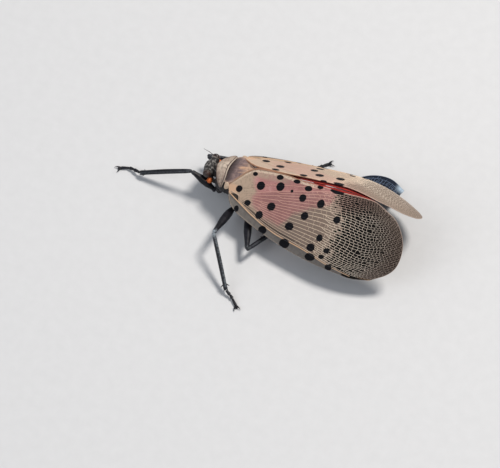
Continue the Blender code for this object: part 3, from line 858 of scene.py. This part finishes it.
# -------------------------------------------------------------- hindwings
# Thin fan-shaped wings folded under the front pair: scarlet with black
# spots at the base, blue-black with fine pale veins towards the tip. The
# right one has slipped out and shows its tip beyond the front wing.

# the roof that the folded wings make: its start, the height and rise of its
# ridge, the length of that rise, and where and how fast the ridge sinks again
HINGE_X, RIDGE_Z, RIDGE_RISE, RIDGE_LONG = 4.5, 6, 5.44, 20
RIDGE_BREAK, RIDGE_DROP = 0.6, 0.96
# half the slit between the wings, the roof's slope in degrees at the ridge
# and low down, and how far the tips close in
SLIT, ROOF_TOP, ROOF_SIDE, TIP_BEND = 0.46, 41.3, 64.6, 2.41
SKIN, GAP = 0.5, 0.28       # the solid front wing, and the gap under it
FINE = 0.005                # step between the places down_roof
down_roof = np.linspace(-2, 16, 3601)


def slope(q):
    """Roof slope in radians at q millimetres down from the ridge."""
    return np.radians(ROOF_TOP + (ROOF_SIDE - ROOF_TOP)
                      * np.clip(np.asarray(q, float) / 9, 0, 1.3) ** 2)


def gathered(rate):
    """What a rate down the roof adds up to, from the ridge."""
    total = np.append(0, np.cumsum((rate[1:] + rate[:-1]) / 2 * FINE))
    return total - np.interp(0, down_roof, total)


roof_out = gathered(np.cos(slope(down_roof)))
roof_down = gathered(np.sin(slope(down_roof)))


def close_in(l):
    return TIP_BEND * (np.maximum(l - 14, 0) / 10) ** 2


def roof(l, q, side, lift=0.0):
    """Points of the folded wing, l back from the hinge, q down from the
    ridge, lift above the surface."""
    l, q = np.asarray(l, float), np.asarray(q, float)
    y = np.maximum(SLIT + np.interp(q, down_roof, roof_out) - close_in(l),
                   0.07 + 0.3 * np.maximum(q, 0))
    level = np.maximum(l / RIDGE_LONG - RIDGE_BREAK, 0)
    z = (RIDGE_Z + RIDGE_RISE * l / RIDGE_LONG - 10 * RIDGE_DROP * level ** 2
         - np.interp(q, down_roof, roof_down))
    at = slope(q)
    return np.stack([HINGE_X + l, side * (y + lift * np.sin(at)),
                     z + lift * np.cos(at)], axis=-1)


def patch(inner, tip, costal, f, s):
    """(l, q) at shares f across and s along between a wing's edges."""
    t = np.linspace(0, 1, 401)
    low, high, end = [smooth_path(edge, len(t)) for edge in
                      (inner, costal, tip)]

    def read(edge, at):
        return np.stack([np.interp(at, t, c) for c in edge.T], axis=-1)

    f, s = np.broadcast_arrays(np.asarray(f, float), np.asarray(s, float))
    g, h = f[..., None], s[..., None]
    return (read(low, s) * (1 - g) + read(high, s) * g + read(end, f) * h
            - (end[0] * (1 - g) + end[-1] * g) * h)


def vane(name, across, along, place, thick, side):
    """A plate pressed into a wing: place(f, s) gives its points, f from 0
    at the inner edge to 1 at the outer one, s from 0 at the hinge to 1."""
    def wing_place(s, t):
        return place((t * side + 1) / 2, s)

    obj, s, t = plate(name, along, across, wing_place, thick)
    return obj, (t * side + 1) / 2, s


def threads(name, lines):
    """Thin round veins as one mesh; a line is its points and radii."""
    curve = bpy.data.curves.new(name, "CURVE")
    curve.dimensions = "3D"
    curve.bevel_depth = 1.0
    curve.bevel_resolution = 1
    curve.use_fill_caps = True
    for points, radii in lines:
        spline = curve.splines.new("POLY")
        spline.points.add(len(points) - 1)
        flat = np.column_stack([points, np.ones(len(points))])
        spline.points.foreach_set("co", flat.ravel())
        spline.points.foreach_set("radius", np.resize(radii, len(points)))
    obj = bpy.data.objects.new(name, curve)
    bpy.context.scene.collection.objects.link(obj)
    only(obj)
    bpy.ops.object.convert(target="MESH")
    obj = bpy.context.object
    modify(obj, "WELD", merge_threshold=1e-4)
    return obj


def spot_reach(l, q, spots):
    """1 at the edge of the nearest spot (l, q, half length, half width)."""
    reach = np.full(np.shape(l), 3.0)
    for a, b, r1, r2 in spots:
        reach = np.minimum(reach, np.hypot((l - a) / r1, (q - b) / r2))
    return reach


HIND_INNER = [(2.3, 3.0), (3.0, 1.6), (3.7, 0.4), (4.5, -0.4), (8.0, -0.5),
              (12.0, -0.5), (15.5, -0.45), (18.2, -0.3)]
HIND_TIP = [(18.2, -0.3), (17.6, 0.9), (17.3, 3.0), (18.0, 5.4), (17.9, 7.0)]
HIND_TIP_OUT = [(18.2, -0.3), (17.2, 0.6), (15.2, 2.4), (15.4, 5.8),
                (18.1, 8.8), (18.8, 11.5)]
HIND_COSTAL = [(2.3, 3.7), (3.2, 4.3), (6.0, 5.6), (10.0, 6.6),
               (14.0, 7.2), (17.9, 7.0)]
HIND_COSTAL_OUT = [(2.3, 3.7), (3.2, 4.3), (6.0, 5.6), (9.3, 7.0),
                   (11.8, 9.1), (14.0, 11.3), (16.4, 12.1), (18.6, 11.5)]
HIND_SPOTS = [(4.6, 2.6, 0.4, 0.4), (5.8, 4.0, 0.45, 0.4),
              (7.0, 2.2, 0.5, 0.45), (8.2, 4.4, 0.5, 0.4),
              (9.6, 2.6, 0.5, 0.45), (9.4, 1.0, 0.35, 0.25),
              (11.2, 4.2, 0.5, 0.45), (12.2, 1.2, 0.4, 0.25)]


def hind_place(l, q, side, rise=0.0):
    """Under the forewing; the far edge flares outwards."""
    flat = np.minimum(q, 7.0)
    p = roof(l, flat, side, rise)
    steep = np.clip(q - 7.0, 0, 2.2)
    out = np.maximum(q - 9.2, 0)
    p[..., 1] += side * (steep * 0.45 + out * 0.93)
    p[..., 2] -= ((SKIN + GAP) / np.cos(slope(flat)) + 0.08
                  - 0.65 * (1 - ease(q, 0.6, 2.6))
                  + steep * 0.89 + out * 0.22)
    return p


f = Finish("hindwing_skin", Specular_IOR_Level=0.2)
fine = f.noise(14.0, 4)
red = f.ramp(f.noise(1.2), (0.3, (0.30, 0.018, 0.015)),
             (0.7, (0.56, 0.060, 0.045)))
night = f.blend(f.noise(1.6), (0.003, 0.005, 0.010),
                (0.013, 0.019, 0.036))
skin = f.coats(
    red,
    (f.step(f.own("night") + fine * 0.3, 0.3, 0.75), night),
    (f.step(f.own("spot") + (fine - 0.5) * 0.25, 1.08, 0.92),
     (0.012, 0.010, 0.012)),
    # pale blue-white at the tip's outer corner: partly the wing's own white,
    # partly painted highlight
    (f.own("white"), (0.42, 0.52, 0.62)))
bump = f.relief(f.noise(9.0, 4, 0.6), 0.03, 0.7)
hind_finish = f.feed(Base_Color=skin, Normal=bump,
                     Roughness=0.42 + fine * 0.25)
f = Finish("hindwing_veins")
# veins at the tip's outer corner turn pale blue-white: partly the wing's own
# white, partly painted highlight
skin = f.coats((0.42, 0.05, 0.04), (f.own("night"), (0.14, 0.19, 0.29)),
               (f.own("white"), (0.50, 0.60, 0.70)))
hind_vein_finish = f.feed(Base_Color=skin,
                          Roughness=0.40 + f.noise(9.0) * 0.15)
# pleats across the fan, rows of cross veins, and pale streaks at the tip
FOLDS, CROSS_ROWS, STREAKS = 24, 60, 38
for word, tip, costal in (("left", HIND_TIP, HIND_COSTAL),
                          ("right", HIND_TIP_OUT, HIND_COSTAL_OUT)):
    side = SIDES[word]

    def hind_at(f, s, rise=0.0):
        l, q = patch(HIND_INNER, tip, costal, f, s).T
        pleat = 0.035 * np.sin(f * FOLDS * pi) * ease(s, 0.1, 0.5)
        return hind_place(l, q, side, rise + pleat)

    sheet, f_at, s_at = vane("hindwing_" + word + "_sheet", 100, 130,
                             hind_at, 0.06, side)
    l, q = patch(HIND_INNER, tip, costal, f_at, s_at).T
    note(sheet, "night", ease(l + 0.35 * q, 12.0, 13.5) * ease(q, 0.9, 2.0))
    note(sheet, "spot", spot_reach(l, q, HIND_SPOTS))
    # pale blue-white at the tip's outer corner: partly the wing's own white,
    # partly painted highlight
    note(sheet, "white", ease(q, 10.4, 11.6) * ease(l, 17.3, 18.2))
    settle(sheet, hind_finish, "hindwing", "hindwing_" + word)
    # a long vein on each pleat, and short cross veins in staggered rows
    lines = []
    for k in range(FOLDS + 1):
        start = 0.02 if k % 4 == 0 else 0.2 if k % 2 == 0 else 0.5
        lines.append((hind_at(np.full(70, k / FOLDS),
                              np.linspace(start, 1.0, 70), 0.01),
                      np.linspace(0.05, 0.012, 70)))
    for n in range(14, CROSS_ROWS):
        for k in range(FOLDS):
            if (7 * n + 5 * k) % 11 == 0:
                s_n = n / CROSS_ROWS + 0.012 * sin(7 * k + n)
                lines.append((hind_at(np.linspace(k, k + 1, 4) / FOLDS,
                                      np.full(4, s_n)), 0.018))
    # fine pale streaks run in from the outer margin of the dark tip
    for n in range(STREAKS):
        f_n = np.linspace(0.985 - 0.05 * abs(sin(5 * n)),
                          0.87 + 0.06 * sin(3 * n), 6)
        s_n = 0.62 + 0.36 * n / STREAKS + 0.005 * sin(9 * n)
        lines.append((hind_at(f_n, np.full(6, s_n), 0.004),
                      np.linspace(0.020, 0.008, 6)))
    ribs = threads("hindwing_" + word + "_ribs", lines)
    at = points_of(ribs)
    l, aside = at[:, 0] - HINGE_X, np.abs(at[:, 1])
    note(ribs, "night", ease(l + 0.35 * (aside + 2), 12.0, 13.5)
         * ease(aside, 1.0, 1.8))
    # pale blue-white at the tip's outer corner: partly the wing's own white,
    # partly painted highlight
    note(ribs, "white", ease(aside, 7.6, 8.4) * ease(l, 17.3, 18.2))
    settle(ribs, hind_vein_finish, "hindwing")

# -------------------------------------------------------------- forewings
# Leathery front wings laid like a roof over the body: tan and pink with
# black spots, and towards the tip a close net of pale veins round black
# cells. Each is a thin sheet; its raised veins are a second piece.
FORE_INNER = [(0.95, 2.15), (1.42, 1.57), (2.04, 0.92), (2.65, 0.26),
              (3.32, -0.22), (4.0, -0.44), (5.3, -0.50), (7.4, -0.46),
              (9.0, -0.26), (10.8, -0.12), (14.3, 0.02), (16.4, 0.0),
              (18.2, 0.15), (19.4, 0.7)]
FORE_TIP = [(19.4, 0.7), (21.2, 2.0), (22.5, 4.3), (22.7, 6.7),
            (22.0, 8.3), (20.2, 9.6)]
FORE_COSTAL = [(1.4, 3.05), (1.55, 3.6), (2.2, 4.5), (3.7, 5.5), (8.0, 7.4),
               (12.4, 8.9), (16.3, 9.6), (18.2, 9.9), (20.2, 9.6)]
# the disc lies between the claval seam and the great pale vein
DISC_INNER = [(2.5, 2.86), (4.64, 2.28), (7.4, 1.5), (9.6, 1.0), (12.5, 0.4),
              (14.5, 0.12), (18.1, 0.2), (19.4, 0.7)]
DISC_COSTAL = [(2.75, 3.7), (4.6, 4.66), (6.4, 5.6), (8.3, 6.38),
               (10.2, 6.95), (12.0, 7.5), (15.0, 8.6), (18.1, 9.4),
               (20.2, 9.6)]
GREAT_VEIN = [(1.25, 2.9), (2.3, 3.56), (3.56, 4.3), (4.6, 4.93),
              (6.43, 5.88), (8.27, 6.65), (10.17, 7.2), (11.92, 7.7),
              (15.0, 8.8), (18.0, 9.6)]
LEFT_SPOTS = [(2.4, 2.3, .40, .40), (3.7, .2, .30, .25), (4.8, 1.4, .50, .50),
              (7.1, 1.0, .48, .52), (6.7, -.05, .42, .3),
              (8.8, .0, .42, .24), (8.6, 1.2, .18, .18),
              (10.4, .5, .45, .33), (11.7, .0, .35, .3),
              (13.8, .02, .85, .34), (10.1, 1.7, .42, .46),
              (12.4, 1.9, .45, .52), (3.9, 3.7, .40, .36),
              (6.8, 3.5, .50, .50), (5.7, 4.8, .46, .50),
              (11.0, 3.7, .44, .48), (14.8, 3.2, .42, .45),
              (9.6, 5.3, .52, .50), (13.5, 5.8, .40, .44),
              (12.8, 7.2, .50, .50), (14.7, 7.1, .36, .36),
              (14.3, 8.0, .34, .30), (2.8, 4.7, .30, .42),
              (6.6, 6.5, .50, .55), (9.6, 7.5, .62, .62),
              (13.0, 8.4, .62, .50), (15.4, 9.1, .42, .42),
              (1.7, 4.1, .12, .12)]
# the right wing shows spots of its own near its inner edge
RIGHT_SPOTS = [(a, b, 1.1 * c, 1.4 * d) for a, b, c, d in (
    (3.6, 2.8, .42, .40), (5.7, 1.8, .45, .42), (5.7, .1, .42, .3),
    (9.4, 3.5, .42, .42), (10.6, 1.8, .46, .44), (9.1, .3, .42, .32),
    (11.7, -.1, .35, .24), (13.0, 2.3, .46, .46), (13.5, .2, .62, .34))]
SPOTS = {"left": LEFT_SPOTS,
         "right": RIGHT_SPOTS + [p for p in LEFT_SPOTS if p[1] > 4]}
NET = 32                    # long veins across the disc, before they fork
# cells of the net along the wing: long where it starts, short at the tip
CELL = [(8.0, 0.75), (13.0, 0.70), (16.0, 0.60), (18.0, 0.47), (20.0, 0.37),
        (21.3, 0.35), (21.7, 0.50), (24.0, 0.50)]
CELLS, NET_END = 70, 22.6   # more cells than fit, and where they stop
STEP, SLICE = 0.025, 0.1    # how finely the wing is counted off
along = np.linspace(0, 25, 1001)
cells_past = np.cumsum(STEP / between(along, CELL)[0])


def net_start(q):
    """How far back the net begins, q down from the ridge."""
    return np.interp(q, [0.4, 1.2, 1.6, 2.7, 3.3, 4.3, 5.1, 5.9, 7.0, 8.0,
                         8.75, 9.3],
                     [13.9, 14.0, 14.4, 15.0, 15.4, 15.4, 15.2, 14.9, 15.1,
                      14.9, 15.6, 16.5])


def grain(k, n):
    """A fixed number from 0 to 1 for each cell of the net."""
    return (np.sin(k * 12.9898 + n * 78.233) * 43758.5453) % 1.0


def disc(f, s):
    return patch(DISC_INNER, FORE_TIP, DISC_COSTAL, f, s)


# long veins in order across the wing: where each begins, its parent, and
# whether it is one of the short ones that only split the net near the tip
veins, whole = [], []
for k in range(NET + 1):
    whole.append(len(veins))
    veins.append((2.4, whole[k], 0) if k % 4 == 0 else
                 (5.0 if k > 12 else 7.4, whole[k - 2], 0) if k % 2 == 0 else
                 (13.1 + 1.2 * grain(k, 3), whole[k - 1], 0))
    if k < NET and grain(k, 5) > 0.60:
        veins.append((17.2 + 3.2 * grain(k, 8), whole[k], 1))
# rows of cross veins: between veins i and j while none between them has begun
rows = []
for i in range(len(veins)):
    upto = 23.0
    for j in range(i + 1, len(veins)):
        low = max(veins[i][0], veins[j][0], 11.0)
        if low < upto:
            rows.append((i, j, low, upto))
        upto = min(upto, veins[j][0])
ranks = np.arange(len(veins))
phase = (0.5 * ranks + np.cumsum(0.5 * (grain(ranks, 1.0) - 0.5))) % 1.0
across = np.linspace(0, 1, 141)
fan = disc(*np.meshgrid(across, np.linspace(0, 1, 281)))


def net_cell(l, q):
    """The long vein beside a point and the number of the cell along it."""
    slices = np.round((l - 2) / SLICE).astype(int)
    share = np.empty(len(l))
    for n in np.unique(slices):
        pick = slices == n
        col = np.abs(fan[:, :, 0] - (2 + n * SLICE)).argmin(axis=0)
        share[pick] = np.interp(q[pick], fan[col, np.arange(len(across)), 1],
                                across)
    k = np.clip(np.floor(share * NET), 0, NET).astype(int)
    k = np.array(whole)[k]
    return k, np.floor(np.interp(l, along, cells_past) - phase[k])


def shade_of_ridge(l, q):
    """1 where the net is darkest, along the inner edge."""
    return (ease(l, 13.0, 15.0)
            * (1 - ease(q + 0.25 * (l - 15), 1.2, 3.4)))


def tints(obj, l, q, word):
    """What the wing's colours follow: numbers kept on its points."""
    great, seam, inner = [np.interp(l, *np.array(line).T) for line in
                          (GREAT_VEIN, DISC_INNER, FORE_INNER)]
    note(obj, "spot", spot_reach(l, q, SPOTS[word]))
    # painted shade: the steep strip below the great vein is greyed as if
    # turned away from the light
    note(obj, "strip", ease(q - great, -0.05, 0.08))
    low_edge = np.interp(l, [4.2, 6.2, 8.3, 9.0, 9.6, 11, 12, 13.4, 14.2],
                         [3.6, 5.1, 5.7, 4.9, 3.9, 3.1, 2.6, 1.9, 1.2])
    pink = (ease(l + 0.4 * np.abs(q - 2.3), 3.7, 5.3)
            * (1 - ease(l, 13.2, 14.6))
            * (1 - ease(q - low_edge, -0.9, 0.6)))
    pink *= 1 - 0.6 * (1 - ease(q, 0.2, 1.0)) * (1 - ease(l, 6.5, 9))
    note(obj, "pink", pink * (1.0 if word == "left" else 0.55))
    inside = ease(q - seam, 0, 0.2) * (1 - ease(q - great, -0.35, -0.2))
    note(obj, "disc", inside * ease(l, 3.5, 6) * (1 - ease(l, 15, 16)))
    # dark cells beside the great vein and at the shoulder
    dusk = ease(q - great, -0.75, -0.5) * (1 - ease(q - great, -0.25, -0.1))
    dusk = dusk * ease(l, 2.9, 3.4) * (1 - ease(l, 9.0, 13.0)) * 0.75
    wedge = np.interp(l, [1.55, 2.2, 2.75, 2.95], [3.0, 2.92, 3.2, 3.7],
                      left=9, right=9)
    dusk = np.maximum(dusk, ease(q - wedge, -0.03, 0.05)
                      * (1 - ease(q - great, -0.12, -0.04)))
    note(obj, "dusk", dusk)
    note(obj, "cream", (1 - ease(q - inner, 0.28, 0.46))
         * ease(l, 1.0, 2.5) * (1 - ease(l, 10.5, 12.5)))
    from_shoulder = np.hypot((l - 1.5) / 1.1, (q - 2.5) / 0.75)
    note(obj, "shoulder", (1 - ease(from_shoulder, 0.5, 1.1)) * (1 - dusk)
         * (q < great))
    note(obj, "hem", (1 - ease(q - inner, 0.02, 0.14)) * (1 - ease(l, 9, 12)))
    note(obj, "great", 1 - ease(np.abs(q - great), 0.05, 0.12))
    # towards the inner edge and the tip the net's veins are darker
    to_tip = spot_reach(l, q, [(a, b, 1, 1)
                               for a, b in smooth_path(FORE_TIP, 60)])
    note(obj, "tip", 1 - ease(to_tip, 0.3, 2.0))
    note(obj, "dim", shade_of_ridge(l, q))
    note(obj, "far", l)


f = Finish("forewing_skin", Specular_IOR_Level=0.12)
cloud = f.noise(0.55, 4, 0.6)
mottle = f.noise(3.2, 5, 0.65)
fine = f.noise(16.0, 4)
grainy = f.noise(7.0, 4, 0.65, stretch=(0.45, 1.3, 1.3))
far = f.own("far")
ladder = (far * 40.0 + mottle * 9.0).math("SINE") * 0.5 + 0.5
tan = f.ramp(far / 24, (0.04, (0.50, 0.365, 0.265)),
             (0.20, (0.45, 0.335, 0.25)), (0.40, (0.30, 0.22, 0.175)),
             (0.58, (0.30, 0.22, 0.17)), (0.95, (0.22, 0.18, 0.15)))
rose = f.ramp(cloud * 0.5 + grainy * 0.5, (0.32, (0.30, 0.125, 0.115)),
              (0.52, (0.45, 0.210, 0.195)), (0.70, (0.61, 0.36, 0.32)))
grey = f.ramp(mottle, (0.3, (0.12, 0.112, 0.105)),
              (0.7, (0.20, 0.185, 0.17)))
smoke = f.ramp(far / 24, (0.62, (0.003, 0.002, 0.002)),
               (0.80, (0.006, 0.005, 0.004)), (0.94, (0.020, 0.015, 0.012)))
smoke = f.blend(f.own("tip") * 0.7, smoke, (0.045, 0.032, 0.026))
spot_edge = f.own("spot") + (f.noise(3.0, 2) - 0.5) * 0.22
skin = f.coats(
    tan,
    (f.step(mottle, 0.46, 0.66) * 0.42, (0.20, 0.15, 0.12)),
    (f.step(f.own("pink") + (cloud + grainy - 1.0) * 1.2, 0.1, 0.9), rose),
    (ladder * f.own("disc") * 0.40, (0.085, 0.062, 0.056)),
    # painted light: the right wing is washed lighter, as where it faced the
    # sun
    (f.own("sandy") * 0.5, (0.60, 0.46, 0.355)),
    (f.own("cream") * f.step(grainy, 0.3, 0.6), (0.72, 0.56, 0.42)),
    # painted shade: grey over the steep strip below the great vein
    (f.own("strip") * 0.9, grey),
    (f.own("dusk"), (0.045, 0.036, 0.030)),
    (f.own("shoulder"), (0.62, 0.40, 0.265)),
    (f.own("black"), smoke),
    (f.step(spot_edge, 1.06, 0.96), (0.004, 0.004, 0.006)))
bump = f.relief(fine * 0.35 + grainy * 0.9, 0.035, 0.8)
wing_finish = f.feed(Base_Color=skin, Normal=bump,
                     Roughness=0.50 + mottle * 0.22)

f = Finish("forewing_veins", Specular_IOR_Level=0.3)
mottle = f.noise(4.0)
skin = f.coats(
    f.ramp(f.own("far") / 24, (0.05, (0.50, 0.36, 0.26)),
           (0.30, (0.50, 0.365, 0.28)), (0.54, (0.80, 0.63, 0.47)),
           (0.64, (0.90, 0.76, 0.61)), (0.78, (0.88, 0.75, 0.63)),
           (0.90, (0.70, 0.56, 0.47))),
    (f.own("dim") * 0.85, (0.50, 0.30, 0.245)),
    (f.own("tip") * 0.75, (0.36, 0.27, 0.22)),
    (f.own("pink") * 0.75, (0.62, 0.31, 0.26)),
    (f.step(mottle, 0.5, 0.8) * 0.3, (0.32, 0.23, 0.18)),
    # painted shade: darker veins on the steep strip below the great vein
    (f.own("strip") * 0.85, (0.17, 0.150, 0.13)),
    (f.own("hem"), (0.34, 0.175, 0.105)),
    (f.own("great"), (0.56, 0.35, 0.21)),
    (f.step(f.own("spot"), 1.03, 0.9), (0.006, 0.005, 0.008)))
vein_finish = f.feed(Base_Color=skin, Roughness=0.45 + mottle * 0.15)

# The net, alike on both wings: each line has its (l, q), lift and radii.
# Long veins fork from their parents; the cross veins of each row pull them
# together, so that the cells close up to six sides.
s_fine = np.linspace(0, 1, 400)
l_fine = disc(0.5, s_fine)[:, 0]
weight = np.array([ease(l_fine, first - 1.2, first + 1.2)
                   if short else np.ones(len(s_fine))
                   for first, _, short in veins])
place = np.cumsum(weight, axis=0)
place = (place - 1) / (place[-1] - 1)
joints = [[] for _ in veins]


def vein_at(v, at, s_n):
    """Place of a vein across the disc; it leaves its parent's side."""
    start, parent, _ = veins[v]
    own, home = [np.interp(s_n, s_fine, place[n]) for n in (v, parent)]
    return own + (home - own) * (1 - ease(at, start, start + 0.9))


net = []
for i, j, low, upto in rows:
    cell = np.arange(CELLS) + 0.2 * (grain(i, np.arange(CELLS)) - 0.5)
    for at in np.interp(cell + phase[i], cells_past, along):
        if not low + 0.35 < at < min(upto + 0.2, NET_END):
            continue
        s_n = np.interp(at, l_fine, s_fine)
        ends = [vein_at(v, at, s_n) for v in (i, j)]
        gap = ends[1] - ends[0]
        joints[i].append((at, gap))
        joints[j].append((at, -gap))
        a, b = disc(np.array(ends), np.full(2, s_n))
        before = net_start(a[1]) - at
        if before > 1.0 and grain(i, at * 7) < 0.35:
            continue
        size = (0.018 if before > 1.0 else
                np.interp(at, (14, 17, 19, 22),
                          (0.025, 0.021, 0.019, 0.018)))
        net.append((np.array([a, (a + b) / 2, b]), -0.012,
                    size * (1 - 0.12 * shade_of_ridge(*a))))
for v, (start, *_) in enumerate(veins):
    plain = [(at, 0.0) for at in np.arange(start, 23.5, 0.13)]
    points = []
    for at, pull in sorted(plain + [j for j in joints[v] if j[0] > start]):
        s_n = np.interp(at, l_fine, s_fine)
        if s_n > 0.995:
            break
        f_n = vein_at(v, at, s_n)
        if 0 < v < len(veins) - 1:
            f_n += pull * (0.02 + 0.10 * ease(at, 17.0, 20.0))
        points.append((f_n, s_n))
    points.append((place[v][-1], 1.0))
    line = disc(*np.array(points).T)
    thick = np.interp(line[:, 0], (3, 9, 14, 16, 18, 20, 22.5),
                      (0.040, 0.040, 0.036, 0.030, 0.026, 0.023, 0.022))
    thick[:4] *= (0.2, 0.5, 0.75, 0.9)
    net.append((line, -0.02, thick * (1 - 0.12 * shade_of_ridge(*line.T))))
# the cord round the rim, the great vein, a vein on the inner part, and a
# short one across the shoulder
rim = np.vstack([smooth_path(FORE_INNER, 160), smooth_path(
    FORE_TIP, 90)[1:], smooth_path(FORE_COSTAL, 160)[::-1][1:]])
net.append((rim, -0.03, np.interp(
    np.arange(len(rim)), (0, 12, 34, 60, 160, 250, 330, 400),
    (0.09, 0.11, 0.10, 0.06, 0.04, 0.035, 0.055, 0.08))))
for path, r0, r1 in (
        (GREAT_VEIN, 0.085, 0.04),
        ([(3.0, 2.15), (5.4, 1.2), (9.5, 0.45), (12.3, 0.2)], 0.040, 0.03),
        ([(1.5, 2.75), (2.1, 2.9), (2.6, 3.1), (2.78, 3.6), (2.95, 3.9)],
         0.07, 0.05)):
    net.append((smooth_path(path, 90), 0.005,
                np.linspace(r0, r1, 90) * ease(np.arange(90), -2, 6)))

for word, side in SIDES.items():
    def wing_at(f, s):
        l, q = patch(FORE_INNER, FORE_TIP, FORE_COSTAL, f, s).T
        return roof(l, q, side)

    sheet, f_at, s_at = vane("forewing_" + word + "_sheet", 130, 250,
                             wing_at, 0.07, side)
    l, q = patch(FORE_INNER, FORE_TIP, FORE_COSTAL, f_at, s_at).T
    tints(sheet, l, q, word)
    # black cells begin one by one at the net's ragged edge
    ragged = l - net_start(q) + 1.1 * (grain(*net_cell(l, q)) - 0.5)
    note(sheet, "black", ease(ragged, -0.05, 0.05)
         * (1.0 if word == "left" else 0.5))
    # painted light: only the right wing gets the lighter wash of a sunlit side
    note(sheet, "sandy", np.full(len(l), 0.0 if word == "left" else 1.0))
    settle(sheet, wing_finish, "forewing", "forewing_" + word)
    ribs = threads("forewing_" + word + "_ribs",
                   [(roof(*line.T, side, lift), radii)
                    for line, lift, radii in net])
    at = points_of(ribs)
    q = np.interp(np.abs(at[:, 1]) - SLIT + close_in(at[:, 0] - HINGE_X),
                  roof_out, down_roof)
    tints(ribs, at[:, 0] - HINGE_X, q, word)
    settle(ribs, vein_finish, "forewing")

# ------------------------------------------------------------------ stage
# A plain pale floor, a broad soft lamp high on the insect's right and a
# pale room; the camera looks down from its left as in the photograph.
bpy.ops.object.select_all(action="DESELECT")
bpy.ops.mesh.primitive_plane_add(size=1.2, location=(0, 0, 0))
floor = bpy.context.object
floor.name = "floor"
f = Finish("floor_pale", IOR=1.5)
pale = f.blend(f.noise(0.8), (0.58, 0.58, 0.59), (0.63, 0.63, 0.64))
floor.data.materials.append(f.feed(Base_Color=pale,
                                   Roughness=0.75 + f.noise(1.0) * 0.1))

# what the camera looks at, how far from it, and its own three directions
target, CAMERA_AWAY = Vector((0.000777, -0.003018, 0.002764)), 0.4
away = Vector((0.224, -0.480, 0.848)).normalized()
right = Vector((0.906, 0.423, 0.0)).normalized()
top = away.cross(right)


def lamp(name, place, size, power, tint):
    light = bpy.data.lights.new(name, "AREA")
    light.shape = "DISK"
    light.size, light.energy, light.color = size, power, tint
    obj = bpy.data.objects.new(name, light)
    bpy.context.scene.collection.objects.link(obj)
    obj.location = place
    obj.rotation_euler = (target - obj.location).to_track_quat(
        "-Z", "Y").to_euler()


lamp("key_light", Vector((0.13, 0.15, 0.40)), 0.12, 1.9, (1.0, 0.96, 0.90))
lamp("fill_light", Vector((-0.20, -0.28, 0.30)), 0.35, 0.60,
     (0.92, 0.96, 1.0))
room = bpy.context.scene.world or bpy.data.worlds.new("room")
bpy.context.scene.world = room
room.use_nodes = True
sky = room.node_tree.nodes["Background"].inputs
sky["Color"].default_value = (0.75, 0.80, 0.88, 1.0)
sky["Strength"].default_value = 0.36

bpy.context.scene.view_settings.view_transform = "Standard"
eye_piece = bpy.data.cameras.new("camera")
eye_piece.lens, eye_piece.sensor_width = 253.5, 36.0
eye_piece.clip_start, eye_piece.clip_end = 0.01, 10.0
camera = bpy.data.objects.new("camera", eye_piece)
bpy.context.scene.collection.objects.link(camera)
camera.matrix_world = (Matrix.Translation(target + away * CAMERA_AWAY)
                       @ Matrix((right, top, away)).transposed().to_4x4())
bpy.context.scene.camera = camera
